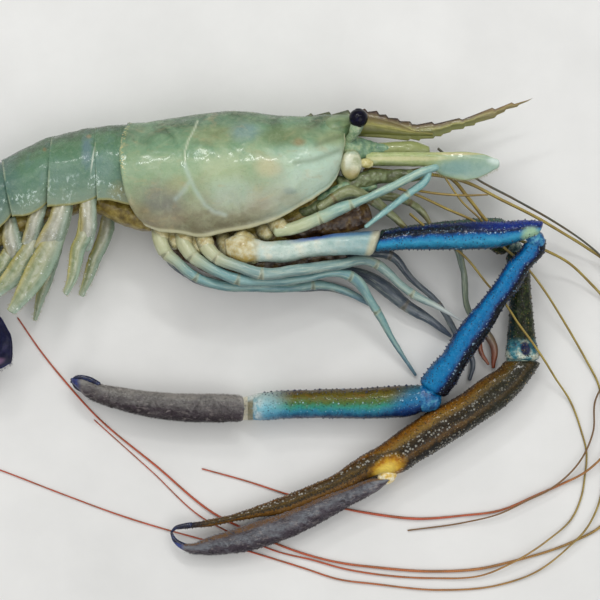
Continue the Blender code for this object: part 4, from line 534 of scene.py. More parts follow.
# Dark flesh seen between the legs, in the same form.
LEG_FLESH = (
    (
        ((157, 222), (160, 232), 18.6, 1.8), ((166, 226), (167, 246), 19.4, 2.4),
        ((178, 230), (178, 257), 19.8, 2.4), ((192, 233), (193, 266), 20.0, 2.4),
        ((208, 236), (211, 274), 20.2, 2.4), ((226, 238), (232, 278), 20.0, 2.2),
        ((246, 240), (256, 279), 19.6, 2.0), ((268, 240), (280, 277), 18.8, 1.8),
        ((290, 240), (303, 273), 18.2, 1.4), ((316, 242), (328, 267), 17.8, 1.0),
        ((340, 244), (348, 262), 17.6, 0.8),
    ),
    (
        ((258, 226), (262, 240), 18.2, 1.8), ((274, 224), (278, 242), 18.6, 2.0),
        ((292, 220), (298, 240), 18.6, 2.0), ((312, 212), (318, 238), 18.2, 2.0),
        ((332, 206), (340, 234), 17.8, 1.8), ((350, 202), (358, 230), 17.4, 1.4),
        ((366, 202), (372, 224), 17.0, 1.0),
    ),
)
THORAX_SHOWN = (
    (-21.0, -13.4, -21.6, -15.6, 16.2, 3.2), (-17.3, -14.1, -18.4, -18.6, 16.2, 4.2),
    (-11.2, -14.7, -12.6, -21.6, 16.2, 4.4), (-4.8, -15.0, -5.6, -24.0, 16.2, 4.3),
    (2.6, -13.6, 2.6, -25.6, 16.2, 4.0), (11.2, -11.8, 12.2, -25.6, 16.2, 4.0),
    (19.2, -9.6, 21.1, -22.4, 16.2, 4.0), (26.2, -5.6, 28.8, -17.3, 16.2, 3.8),
    (32.6, -1.6, 35.2, -11.8, 16.2, 3.6), (38.4, 1.0, 40.6, -7.0, 16.2, 3.0),
)
BELLY_SHOWN = (
    (-23.8, -6.5, -22.4, -16.4, 15.6, 4.4), (-27.2, -6.3, -25.4, -16.2, 15.4, 5.0),
    (-30.1, -5.1, -29.4, -14.9, 15.2, 5.4), (-33.6, -4.4, -34.6, -13.0, 15.0, 5.4),
    (-37.1, -4.1, -38.1, -10.9, 14.6, 5.4), (-42.2, -4.6, -42.6, -10.3, 14.2, 5.2),
    (-49.3, -5.6, -49.6, -12.2, 13.8, 5.0), (-56.3, -6.8, -55.7, -13.8, 13.2, 4.8),
    (-62.4, -9.1, -60.8, -16.1, 12.8, 4.4), (-67.8, -11.5, -64.6, -18.3, 12.4, 4.0),
    (-73.0, -16.0, -69.8, -20.8, 12.0, 3.6), (-77.1, -22.4, -73.6, -24.6, 11.2, 3.2),
    (-79.7, -27.8, -76.5, -29.1, 10.4, 2.6),
)
# How the finer skins' rows stand off from the solids' rows, in millimetres.
ROW_SHIFTS = {
    "claw_palm_left": {
        7: (0, 0, 0.6, -0.8), 8: (0, 0, 0.6, -0.8), 9: (0, 0, 0.5, -1.3), 10: (0, 0, 0.4, -1.3),
        11: (0, 0, 0.3, -1.0),
    },
    "claw_finger_left": {
        1: (-0.4, 0.9, 0, 0), 2: (-0.5, 1.2, 0, 0), 3: (-0.5, 1.2, 0, 0), 4: (-0.3, 1.0, 0, 0),
    },
}
# Near ends of the legs as shown, put in place of the first rows of their tables.
LEG_TOPS = {
    "leg_5_right": (
        2, ((-20.0, -14.6, 21.0, 1.9, 1.9), (-19.0, -19.4, 23.4, 2.3, 2.2), (-16.9, -23.6, 24.2, 2.0, 1.9)),
    ),
    "leg_4_right": (
        2, ((-12.6, -15.6, 21.5, 1.9, 1.9), (-11.4, -20.4, 24.2, 2.4, 2.3), (-8.6, -24.4, 25.4, 2.1, 2.0)),
    ),
    "leg_3_right": (
        2, ((-6.0, -16.6, 22.5, 1.9, 1.9), (-4.0, -21.6, 25.6, 2.4, 2.3), (-0.6, -25.0, 26.9, 2.1, 2.0)),
    ),
}
# Tinted places on the antenna's root and its scale, in the same form as the shell's.
ROOT_SPOTS = (
    (352, 177, 14, 7, 0, 0.8, (146, 132, 66)), (352, 151, 12, 4, 0, 0.6, (118, 150, 124)),
    # The whitish spot at (347, 162) is a painted highlight on the antenna's root.
    (347, 162, 4, 6, 0, 0.5, (216, 220, 204)), (343, 166, 2, 12, 0, 0.5, (160, 150, 100)),
)
SCALE_SPOTS = (
    (384, 166, 30, 3.5, 0, 0.85, (96, 108, 62)), (404, 159, 44, 2.2, 0, 0.75, (204, 200, 156)),
    (396, 151, 40, 1.6, 0, 0.7, (112, 130, 62)), (452, 169, 18, 8, 0, 0.75, (108, 146, 146)),
    # The whitish spot at (495, 161) is a painted highlight at the scale's tip.
    (474, 170, 22, 9, -12, 0.6, (126, 158, 152)), (495, 161, 7, 4, 0, 0.8, (206, 220, 214)),
    (460, 154, 26, 1.4, 0, 0.6, (196, 176, 116)),
)
EYE_RADIUS = 3.0
# Lines of spines: angle round the piece, gap, width and height.
BLUE_LINES = (
    (6, 1.5, 0.32, 0.55), (32, 1.7, 0.26, 0.34), (174, 1.8, 0.28, 0.42), (62, 2.0, 0.22, 0.26),
    (140, 2.2, 0.22, 0.26),
)
BLUE_PALM_LINES = (
    (7, 1.9, 0.44, 0.4), (172, 2.4, 0.28, 0.28), (38, 2.2, 0.26, 0.26),
)
BROWN_LINES = (
    (8, 1.2, 0.2, 0.26), (172, 1.3, 0.24, 0.32), (100, 1.0, 0.3, 0.3), (92, 1.1, 0.26, 0.26),
)
# Shades of the felted fingers, from their near edge to their far edge.
FINGER_RIGHT_STOPS = (
    (0.0, (26, 14, 24)), (0.22, (52, 40, 48)), (0.55, (96, 92, 92)), (0.8, (122, 120, 116)),
    (1.0, (142, 138, 132)),
)
FINGER_LEFT_STOPS = (
    (0.0, (36, 22, 36)), (0.22, (66, 56, 66)), (0.48, (114, 118, 124)), (0.66, (92, 92, 98)),
    (0.82, (62, 54, 60)), (1.0, (52, 40, 30)),
)
# Hooked finger tips: rows on the picture's grid, height and half width.
CLAW_TIPS = (
    (
        (98, 384.5, 8.4, 0.9), (90, 380, 8.5, 0.9), (82, 377.5, 8.4, 0.75), (75, 378, 8.0, 0.6),
        (71, 382, 7.4, 0.45),
    ),
    ((94, 397, 4.6, 1.0), (82, 391, 4.8, 0.8), (75, 387, 5.4, 0.7), (71, 380, 6.0, 0.5)),
    ((190, 526, 4.6, 0.9), (182, 527, 4.5, 0.75), (175, 529, 4.3, 0.6), (171, 533, 4.1, 0.4)),
    ((196, 551, 4.2, 1.5), (183, 547, 4.1, 1.0), (174, 541, 4.0, 0.75), (171, 535, 3.9, 0.45)),
)
# Hips of the legs: both ends on the picture's grid with their heights, then the radius.
HIPS = (
    ((158, 222, 20.6), (163, 238, 23.4), 2.7), ((171, 229, 19.4), (177, 246, 22.4), 2.5),
    ((181, 230, 21.4), (187, 245, 24.4), 2.7), ((195, 233, 21), (201, 250, 24), 2.5),
    ((201, 234, 22.6), (209, 249, 26.0), 2.8), ((222, 236, 20), (230, 254, 22.6), 3.0),
    ((240, 236, 24.4), (256, 258, 23.6), 3.8), ((260, 228, 19.6), (268, 236, 21.6), 2.6),
    ((272, 222, 21.6), (284, 229, 23.4), 2.8),
)
# Swollen bases of the swimmerets, as edge rows on the picture's grid.
SWIMMERET_BASES = (
    (
        ((80, 200), (97, 199), 21.8, 1.6), ((81, 214), (98, 212), 22.2, 2.0),
        ((81, 228), (98, 228), 21.8, 1.7), ((79, 240), (95, 241), 20.6, 1.0),
        ((78, 248), (92, 249), 19.8, 0.6),
    ),
    (
        ((55, 203), (73, 201), 20.6, 1.6), ((50, 216), (71, 214), 21.2, 2.0),
        ((44, 228), (67, 231), 20.8, 1.7), ((38, 239), (61, 245), 19.6, 1.0),
        ((34, 246), (56, 253), 18.8, 0.6),
    ),
    (
        ((34, 206), (48, 206), 18.8, 1.6), ((28, 218), (45, 218), 19.4, 2.0),
        ((25, 230), (41, 232), 18.8, 1.7), ((22, 241), (37, 244), 17.6, 0.8),
    ),
    (
        ((4, 222), (16, 218), 16.4, 1.4), ((2, 234), (20, 232), 17.0, 2.0),
        ((3, 244), (23, 246), 16.6, 1.7), ((8, 256), (20, 257), 15.4, 0.8),
    ),
)
# Looks of the thin legs: shades, joints, tip, streaks, root and the tip's strength.
LEG_LOOKS = {
    "leg_pale": (
        shades((108, 150, 144), (136, 170, 158), (174, 194, 168)), (176, 178, 136), (122, 164, 162), 0.3,
        (180, 186, 146),
    ),
    "first_hand": (
        shades((98, 146, 148), (124, 170, 168), (160, 194, 182)), (176, 178, 136), (130, 172, 166),
    ),
    "leg_blue": (
        shades((84, 126, 134), (116, 156, 156), (154, 178, 164)), (158, 158, 122), (70, 96, 126), 0.3,
        (182, 182, 142),
    ),
    "leg_white": (
        shades((96, 128, 130), (128, 156, 152), (168, 182, 166)), (170, 166, 132), (208, 210, 208), 0.4,
        (182, 182, 142), 0.9,
    ),
    "leg_grey": (shades((46, 54, 70), (76, 86, 98), (112, 120, 122)), (120, 108, 88), (64, 74, 92)),
    "leg_rust": (
        shades((82, 98, 92), (112, 124, 108), (142, 148, 120)), (132, 112, 76), (128, 54, 22), 0.3, None,
        0.95,
    ),
    "pincer_rust": (shades((96, 36, 12), (138, 62, 26), (158, 96, 54)), (132, 80, 40), (110, 40, 16)),
}
# Which rows of each leg's table are its joints.
JOINTS = {
    "leg_5_right": (2, 4, 8),
    "leg_4_right": (2, 5, 9, 11),
    "leg_3_right": (2, 4, 8, 10),
    "leg_5_left": (1, 3),
    "leg_4_left": (1, 5, 8),
    "leg_3_left": (1, 6, 8),
}


def travel(points):
    """Distance along a line of points, at each of them."""
    return np.concatenate(([0.0], np.cumsum(np.linalg.norm(np.diff(points, axis=0), axis=1))))


def unit(ways):
    """The ways, each with length one."""
    return ways / np.linalg.norm(ways, axis=1)[:, None]


def smooth_curve(rows, slopes, index, t, span=1.0):
    """A row on the smooth curve from one row to the next, at a share t of the way."""
    return (
        (2 * t**3 - 3 * t**2 + 1) * rows[index]
        + (t**3 - 2 * t**2 + t) * span * slopes[index]
        + (3 * t**2 - 2 * t**3) * rows[index + 1]
        + (t**3 - t**2) * span * slopes[index + 1]
    )


def refine(rows):
    """A smooth run through every row, as the solids have it."""
    rows = np.array(rows, float)
    middle = rows[:, :2]
    if rows.shape[1] > 5:
        middle = (rows[:, :2] + rows[:, 2:4]) / 2.0
    knots = travel(middle)
    slopes = np.gradient(rows, knots, axis=0)
    out = [rows[0]]
    for index, span in enumerate(np.diff(knots)):
        for step in range(1, CURVE_STEPS + 1):
            out.append(smooth_curve(rows, slopes, index, step / CURVE_STEPS, span))
    return np.array(out)


def even(rows, gap):
    """The smooth run with a row every `gap` millimetres."""
    fine = refine(rows)
    centre = fine[:, :3]
    if fine.shape[1] > 5:
        centre = np.column_stack(((fine[:, 0:2] + fine[:, 2:4]) / 2.0, fine[:, -2]))
    reach = travel(centre)
    where = np.linspace(0.0, reach[-1], max(6, int(reach[-1] / (gap * QUICK_GAP)) + 1))
    return np.column_stack([np.interp(where, reach, column) for column in fine.T])


def oval(sides, power):
    """Places across and up round a squared-off ellipse, from -1 to 1."""
    angle = 2.0 * np.pi * (np.arange(sides) + 0.5) / sides
    across = np.sign(np.cos(angle)) * np.abs(np.cos(angle)) ** (2.0 / power)
    up = np.sign(np.sin(angle)) * np.abs(np.sin(angle)) ** (2.0 / power)
    return across, up


def shell_outline(sides):
    """The shell's outline as an even, smooth closed round."""
    half = list(SHELL_HALF)
    full = np.array(half + [(height, -width) for height, width in half[-2:0:-1]])
    loop = np.vstack((full[-3:], full, full[:4]))
    slopes = np.gradient(loop, axis=0)
    fine = []
    for index in range(3, len(loop) - 4):
        for step in range(OUTLINE_STEPS):
            fine.append(smooth_curve(loop, slopes, index, step / OUTLINE_STEPS))
    fine = np.array(fine + fine[:1])
    reach = travel(fine)
    where = np.linspace(0.0, reach[-1], sides, endpoint=False)
    return np.interp(where, reach, fine[:, 0]), np.interp(where, reach, fine[:, 1])


def shell_grid(rows, gap, sides):
    """Rings of a shell, with their places along the body's height and across its width."""
    rows = even(rows, gap)
    along, across = shell_outline(sides)
    top, low = rows[:, 0:2], rows[:, 2:4]
    centre, axis = (top + low) / 2.0, (top - low) / 2.0
    ahead = np.column_stack((axis[:, 1], -axis[:, 0])) / np.linalg.norm(axis, axis=1)[:, None]
    plan = (
        centre[:, None, :]
        + axis[:, None, :] * along[None, :, None]
        + ahead[:, None, :] * (rows[:, 4, None] * (1.0 - np.abs(along[None, :]) ** 3))[..., None]
    )
    height = rows[:, 5, None] + rows[:, 6, None] * across[None, :]
    return np.concatenate((plan, height[..., None]), axis=2), along, across


def strip_grid(rows, gap, sides, power=2.3):
    """Rings between two edges, with their places across and up."""
    rows = even(rows, gap)
    across, up = oval(sides, power)
    centre, reach = (rows[:, 0:2] + rows[:, 2:4]) / 2.0, (rows[:, 0:2] - rows[:, 2:4]) / 2.0
    plan = centre[:, None, :] + reach[:, None, :] * across[None, :, None]
    height = rows[:, 4, None] + rows[:, 5, None] * up[None, :]
    return np.concatenate((plan, height[..., None]), axis=2), across, up


def limb_grid(rows, gap, sides):
    """Rings square to a limb's run, with their places across."""
    rows = even([row if len(row) == 5 else row + row[3:] for row in rows], gap)
    ahead = unit(np.gradient(rows[:, :3], axis=0))
    side = unit(np.cross(np.array((0.0, 0.0, 1.0)), ahead))
    up = np.cross(ahead, side)
    across, rise = oval(sides, 2.0)
    grid = (
        rows[:, None, :3]
        + side[:, None, :] * (rows[:, 3, None] * across[None, :])[..., None]
        + up[:, None, :] * (rows[:, 4, None] * rise[None, :])[..., None]
    )
    return grid, across


def rounded(grid, start, end, turns=8):
    """The grid with rounded ends, and the two tips."""
    parts, tips = [], []
    for outer, inner, share in ((grid[0], grid[1], start), (grid[-1], grid[-2], end)):
        centre = outer.mean(axis=0)
        away = centre - inner.mean(axis=0)
        away = away / np.linalg.norm(away)
        size = float(np.linalg.norm(outer - centre, axis=1).min())
        extra = []
        for step in range(1, turns):
            turn = math.sin(0.5 * math.pi * step / turns)
            shrink = math.cos(0.5 * math.pi * step / turns)
            extra.append(centre + (outer - centre) * shrink + away * size * share * turn)
        parts.append(np.array(extra))
        tips.append(centre + away * size * share)
    grid = np.concatenate((parts[0][::-1], grid, parts[1]), axis=0)
    return grid, tips


def normals(grid):
    """Outward directions at the grid's points."""
    down = np.gradient(grid, axis=0)
    around = np.roll(grid, -1, axis=1) - np.roll(grid, 1, axis=1)
    out = np.cross(around, down)
    length = np.linalg.norm(out, axis=2)
    out = out / np.maximum(length, 1e-9)[..., None]
    centre = grid.mean(axis=1, keepdims=True)
    if float(np.mean(np.sum(out * (grid - centre), axis=2))) < 0.0:
        out = -out
    return out


def lumps(points, size, seed):
    """Smooth noise from -1 to 1 with lumps of about the given size in millimetres."""
    place = points / size + seed * 17.31
    base = np.floor(place).astype(np.int64)
    part = place - base
    part = part * part * (3.0 - 2.0 * part)

    def corner(dx, dy, dz):
        mixed = (base[..., 0] + dx) * 374761393 + (base[..., 1] + dy) * 668265263
        mixed = mixed + (base[..., 2] + dz) * 1440662683 + seed * 1274126177
        mixed = (mixed ^ (mixed >> 13)) * 1274126177
        mixed = mixed ^ (mixed >> 16)
        return (mixed & 0xFFFF) / 32767.5 - 1.0

    total = 0.0
    for dx in (0, 1):
        for dy in (0, 1):
            for dz in (0, 1):
                weight = (part[..., 0] if dx else 1.0 - part[..., 0])
                weight = weight * (part[..., 1] if dy else 1.0 - part[..., 1])
                weight = weight * (part[..., 2] if dz else 1.0 - part[..., 2])
                total = total + weight * corner(dx, dy, dz)
    return total


def smooth_step(value, low, high):
    """0 up to `low` and 1 from `high`, smooth between."""
    share = np.clip((value - low) / (high - low), 0.0, 1.0)
    return share * share * (3.0 - 2.0 * share)


def near_line(points, line):
    """Distance in the plan from the points to a broken line."""
    best = np.full(points.shape[:-1], 1e9)
    flat = points[..., :2]
    for start, end in zip(line[:-1], line[1:]):
        a, b = np.array(start), np.array(end)
        share = np.clip(((flat - a) @ (b - a)) / float((b - a) @ (b - a)), 0.0, 1.0)
        best = np.minimum(best, np.linalg.norm(flat - a - share[..., None] * (b - a), axis=-1))
    return best


def new_mesh(name, verts, faces, marks=None):
    """A smooth mesh from millimetres, held above the ground, with its marks."""
    mesh = bpy.data.meshes.new(name)
    verts = np.array(verts, float)
    verts[:, 2] = np.maximum(verts[:, 2], 0.0)
    mesh.from_pydata((verts * MM).tolist(), [], faces)
    for mark, values in (marks or {}).items():
        layer = mesh.attributes.new(mark, "FLOAT", "POINT")
        layer.data.foreach_set("value", np.array(values, float))
    mesh.shade_smooth()
    mesh.update()
    return mesh


def grid_faces(rows, sides):
    row = np.arange(rows - 1)[:, None] * sides
    index = np.arange(sides)[None, :]
    after = (index + 1) % sides
    quads = np.stack((row + index, row + after, row + sides + after, row + sides + index), axis=-1)
    return quads.reshape(-1, 4).tolist()


def add_piece(name, mesh):
    piece = bpy.data.objects.new(name, mesh)
    bpy.context.scene.collection.objects.link(piece)
    return piece


def grid_piece(name, grid, tips, marks=None):
    """A closed skin over the grid. Marks are extra values for each point, used by the materials."""
    rows, sides = grid.shape[:2]
    verts = np.vstack((grid.reshape(-1, 3), np.array(tips)))
    faces = grid_faces(rows, sides)
    first, last = rows * sides, rows * sides + 1
    for index in range(sides):
        after = (index + 1) % sides
        faces.append((first, after, index))
        faces.append((last, (rows - 1) * sides + index, (rows - 1) * sides + after))
    full = {}
    for mark, values in (marks or {}).items():
        values = np.broadcast_to(values, (rows, sides))
        full[mark] = np.concatenate((values.ravel(), (values[0].mean(), values[-1].mean())))
    mesh = new_mesh(name, verts, faces, full)
    work = bmesh.new()
    work.from_mesh(mesh)
    bmesh.ops.recalc_face_normals(work, faces=work.faces[:])
    work.to_mesh(mesh)
    work.free()
    return add_piece(name, mesh)


def settle(piece, surface, node=None):
    """Gives a piece its material, its place in the frame and the node that it stands for."""
    piece.data.materials.clear()
    piece.data.materials.append(surface)
    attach(piece, "root")
    if node:
        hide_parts(node)


def side_ways(ways):
    """Two ways square to each unit way and to each other."""
    upright, sideways = np.array((0.0, 0.0, 1.0)), np.array((1.0, 0.0, 0.0))
    one = unit(np.cross(ways, np.where(np.abs(ways[:, 2:3]) < 0.9, upright, sideways)))
    return one, np.cross(ways, one)


def studs(name, places, outs, sizes, heights, sides=6):
    """Small rounded points standing on a surface, all in one mesh."""
    outs = unit(outs)
    one, two = side_ways(outs)
    ring = []
    for level, width in ((-0.25, 1.0), (0.55, 0.62)):
        for index in range(sides):
            angle = 2.0 * math.pi * index / sides
            shift = one * math.cos(angle) + two * math.sin(angle)
            ring.append(places + shift * (sizes * width)[:, None] + outs * (heights * level)[:, None])
    ring.append(places + outs * heights[:, None])
    faces = []
    for low in range(0, len(places) * len(ring), len(ring)):
        for index in range(sides):
            after = (index + 1) % sides
            faces.append((low + index, low + after, low + sides + after, low + sides + index))
        for index in range(sides):
            faces.append((low + sides + index, low + sides + (index + 1) % sides, low + 2 * sides))
    return add_piece(name, new_mesh(name, np.stack(ring, axis=1).reshape(-1, 3), faces))


def hairs(name, places, ways, lengths, width, bend, tone=None):
    """Short fine hairs, each a thin three-sided spike in two lengths, all in one mesh."""
    ways = unit(ways)
    one, two = side_ways(ways)
    middle = places + ways * (lengths * 0.5)[:, None] + bend * (lengths * 0.12)[:, None]
    tip = places + ways * lengths[:, None] + bend * (lengths * 0.45)[:, None]
    layers = []
    for base, share in ((places, 1.0), (middle, 0.75)):
        for index in range(3):
            angle = 2.0 * math.pi * index / 3.0
            layers.append(base + (one * math.cos(angle) + two * math.sin(angle)) * width * share)
    layers.append(tip)
    low = (np.arange(len(places)) * 7)[:, None]
    quads = np.concatenate([low + np.array((i, (i + 1) % 3, 3 + (i + 1) % 3, 3 + i)) for i in range(3)])
    points = np.concatenate([low + np.array((3 + i, 3 + (i + 1) % 3, 6)) for i in range(3)])
    marks = None if tone is None else {"tone": np.repeat(tone, 7)}
    verts = np.stack(layers, axis=1).reshape(-1, 3)
    return add_piece(name, new_mesh(name, verts, quads.tolist() + points.tolist(), marks))


def rgb(red, green, blue):
    """A colour of 0 to 255 a channel, as the shaders take it."""
    out = []
    for level in (red, green, blue):
        share = level / 255.0
        out.append(share / 12.92 if share <= 0.04045 else ((share + 0.055) / 1.055) ** 2.4)
    return tuple(out) + (1.0,)


class Paint:
    """A material made of nodes, with places in millimetres."""

    def __init__(self, name):
        self.made = bpy.data.materials.new(name)
        self.made.use_nodes = True
        self.tree = self.made.node_tree
        self.tree.nodes.clear()
        self.out = self.tree.nodes.new("ShaderNodeOutputMaterial")
        self.shader = self.tree.nodes.new("ShaderNodeBsdfPrincipled")
        self.tree.links.new(self.shader.outputs[0], self.out.inputs[0])
        coords = self.tree.nodes.new("ShaderNodeTexCoord")
        scale = self.tree.nodes.new("ShaderNodeVectorMath")
        scale.operation = "SCALE"
        scale.inputs["Scale"].default_value = 1000.0
        self.link(coords.outputs["Object"], scale.inputs[0])
        self.place = scale.outputs[0]
        split = self.tree.nodes.new("ShaderNodeSeparateXYZ")
        self.link(self.place, split.inputs[0])
        self.x, self.y, self.z = split.outputs

    def link(self, source, target):
        if isinstance(source, (int, float, tuple)):
            target.default_value = source
        else:
            self.tree.links.new(source, target)

    def mark(self, name):
        node = self.tree.nodes.new("ShaderNodeAttribute")
        node.attribute_name = name
        return node.outputs["Fac"]

    def math(self, operation, one, two=0.0, three=0.0):
        node = self.tree.nodes.new("ShaderNodeMath")
        node.operation = operation
        for socket, value in zip(node.inputs, (one, two, three)):
            self.link(value, socket)
        return node.outputs[0]

    def times(self, one, two):
        return self.math("MULTIPLY", one, two)

    def plus(self, one, two):
        return self.math("ADD", one, two)

    def minus(self, one, two):
        return self.math("SUBTRACT", one, two)

    def stretch(self, x, y, z):
        node = self.tree.nodes.new("ShaderNodeVectorMath")
        node.operation = "MULTIPLY"
        self.link(self.place, node.inputs[0])
        node.inputs[1].default_value = (x, y, z)
        return node.outputs[0]

    def noise(self, size, detail=4.0, rough=0.55, place=None, twist=0.0):
        """Cloudy noise, about 0 to 1, with clouds of the given size in millimetres."""
        node = self.tree.nodes.new("ShaderNodeTexNoise")
        self.link(place or self.place, node.inputs["Vector"])
        node.inputs["Scale"].default_value = 1.0 / size
        node.inputs["Detail"].default_value = detail
        node.inputs["Roughness"].default_value = rough
        node.inputs["Distortion"].default_value = twist
        return node.outputs["Fac"]

    def wave(self, amount, *noise):
        """Noise about zero: how much, then the noise's own values."""
        return self.times(self.minus(self.noise(*noise), 0.5), amount)

    def level(self, mark, wave):
        """A mark from -1 to 1 as a height from 0 to 1, with a wave added."""
        return self.plus(self.math("MULTIPLY_ADD", mark, 0.5, 0.5), wave)

    def patchy(self, size, low, high):
        """Cloudy noise between two values."""
        return self.span(self.noise(size), 0.3, 0.7, low, high)

    def from_x(self, start, full):
        """0 at one place along X and 1 at another, both on the picture's grid."""
        return self.span(self.x, px_x(start), px_x(full))

    def from_y(self, start, full):
        return self.span(self.y, px_y(start), px_y(full))

    def tint(self, base, share, amount, colour):
        """The base with a colour laid over it, where `share` is high."""
        return self.mix(self.times(share, amount), base, colour)

    def lanes(self, wide, long):
        """Places that run along a piece: its round mark times wide, its along mark times long."""
        node = self.tree.nodes.new("ShaderNodeCombineXYZ")
        self.link(self.times(self.mark("round"), wide), node.inputs[0])
        self.link(self.times(self.mark("along"), long), node.inputs[1])
        return node.outputs[0]

    def cells(self, size, place=None):
        """Distance from the middle of the nearest cell."""
        node = self.tree.nodes.new("ShaderNodeTexVoronoi")
        self.link(place or self.place, node.inputs["Vector"])
        node.inputs["Scale"].default_value = 1.0 / size
        return node.outputs["Distance"]

    def span(self, value, low, high, out_low=0.0, out_high=1.0):
        """A value turned from one range into another, smooth at both ends."""
        node = self.tree.nodes.new("ShaderNodeMapRange")
        node.interpolation_type = "SMOOTHSTEP"
        self.link(value, node.inputs[0])
        for index, number in enumerate((low, high, out_low, out_high), start=1):
            node.inputs[index].default_value = number
        return node.outputs[0]

    def ramp(self, value, stops):
        """Colours at places from 0 to 1."""
        node = self.tree.nodes.new("ShaderNodeValToRGB")
        self.link(value, node.inputs[0])
        line = node.color_ramp
        while len(line.elements) > 1:
            line.elements.remove(line.elements[-1])
        for index, (where, colour) in enumerate(stops):
            element = line.elements[0] if index == 0 else line.elements.new(where)
            element.position = where
            element.color = rgb(*colour)
        return node.outputs[0]

    def mix(self, share, one, two):
        node = self.tree.nodes.new("ShaderNodeMix")
        node.data_type = "RGBA"
        self.link(share, node.inputs[0])
        self.link(rgb(*one) if isinstance(one, tuple) else one, node.inputs[6])
        self.link(rgb(*two) if isinstance(two, tuple) else two, node.inputs[7])
        return node.outputs[2]

    def spot(self, x, y, wide, tall, turn, soft, ragged=0.0, size=2.0):
        """A soft round spot in the plan, given on the picture's grid with its half sizes there."""
        cx, cy = px(x, y)
        dx, dy = self.minus(self.x, cx), self.minus(self.y, cy)
        cos, sin = math.cos(math.radians(turn)), math.sin(math.radians(turn))
        along = self.plus(self.times(dx, cos), self.times(dy, sin))
        aside = self.minus(self.times(dy, cos), self.times(dx, sin))
        along = self.math("DIVIDE", along, wide * PLAN_SCALE)
        aside = self.math("DIVIDE", aside, tall * PLAN_SCALE)
        reach = self.math("SQRT", self.plus(self.math("POWER", along, 2.0), self.math("POWER", aside, 2.0)))
        if ragged:
            reach = self.plus(reach, self.wave(ragged, size))
        return self.span(reach, 1.0 + soft * 0.5, 1.0 - soft * 0.5)

    def finish(self, colour, rough=0.35, coat=0.5, coat_rough=0.08, under=0.15, depth=(1.6, 1.2, 0.8),
               bump=None, strength=0.25, bump_depth=0.1, specular=0.32, sheen=0.0):
        """Links the colour and the surface's numbers, and a bump in millimetres."""
        shader = self.shader
        self.link(colour, shader.inputs["Base Color"])
        self.link(rough, shader.inputs["Roughness"])
        shader.inputs["Coat Weight"].default_value = coat
        shader.inputs["Coat Roughness"].default_value = coat_rough
        shader.inputs["Specular IOR Level"].default_value = specular
        if under:
            shader.inputs["Subsurface Weight"].default_value = under
            shader.inputs["Subsurface Radius"].default_value = depth
            shader.inputs["Subsurface Scale"].default_value = MM
        if sheen:
            shader.inputs["Sheen Weight"].default_value = sheen
            shader.inputs["Sheen Roughness"].default_value = 0.5
        if bump is not None:
            node = self.tree.nodes.new("ShaderNodeBump")
            node.inputs["Strength"].default_value = strength
            node.inputs["Distance"].default_value = bump_depth * MM
            self.link(bump, node.inputs["Height"])
            self.link(node.outputs[0], shader.inputs["Normal"])
        return self.made


def carapace_paint():
    p = Paint("carapace_surface")
    rise = p.mark("rise")
    wave = p.wave(0.75, 9.0, 4.0, 0.55, None, 0.8)
    level = p.level(rise, wave)
    colour = p.ramp(level, (
        (0.0, (112, 108, 82)), (0.16, (132, 130, 104)), (0.32, (144, 152, 120)), (0.46, (142, 164, 128)),
        (0.6, (134, 160, 122)), (0.76, (106, 142, 110)), (0.9, (90, 122, 90)), (1.0, (62, 86, 58)),
    ))
    front = p.times(p.from_x(240, 320), p.from_y(138, 158))
    colour = p.tint(colour, front, 0.8, (184, 208, 192))
    rear = p.from_x(190, 130)
    colour = p.tint(colour, rear, 0.3, (120, 146, 118))
    for x, y, wide, tall, turn, share, tint in CARAPACE_SPOTS:
        colour = p.tint(colour, p.spot(x, y, wide, tall, turn, 1.3, 0.7, 3.5), share, tint)
    cloud = p.span(p.noise(3.4, 5.0, 0.6, None, 0.8), 0.4, 0.74)
    colour = p.tint(colour, cloud, 0.22, (182, 190, 152))
    warm = p.span(p.noise(5.2, 4.0, 0.6, p.stretch(0.7, 1.2, 1.0), 0.6), 0.54, 0.7)
    colour = p.tint(colour, warm, 0.28, (176, 158, 118))
    veins = p.span(p.noise(1.1, 5.0, 0.65, p.stretch(0.6, 1.0, 1.0), 1.2), 0.54, 0.7)
    colour = p.tint(colour, veins, 0.2, (92, 108, 84))
    dots = p.span(p.cells(0.7), 0.2, 0.08)
    dots = p.times(dots, p.span(p.noise(5.0), 0.42, 0.6))
    colour = p.tint(colour, dots, 0.3, (70, 78, 62))
    colour = p.tint(colour, p.mark("groove"), 0.8, (196, 206, 178))
    colour = p.tint(colour, p.mark("band"), 0.4, (180, 200, 192))
    colour = p.tint(colour, p.mark("fold"), 0.45, (98, 112, 82))
    colour = p.tint(colour, p.mark("rim"), 0.9, (198, 196, 162))
    stitch = p.times(p.mark("seam"), p.span(p.cells(0.5, p.stretch(0.5, 1.0, 1.0)), 0.5, 0.25))
    colour = p.tint(colour, stitch, 0.85, (196, 184, 128))
    rough = p.patchy(2.0, 0.2, 0.42)
    fine = p.plus(p.times(p.noise(0.5, 4.0), 0.5), p.noise(2.2, 4.0))
    return p.finish(colour, rough, 0.55, 0.15, 0.2, (1.6, 1.5, 1.1), fine, 0.6, 0.2, 0.2)


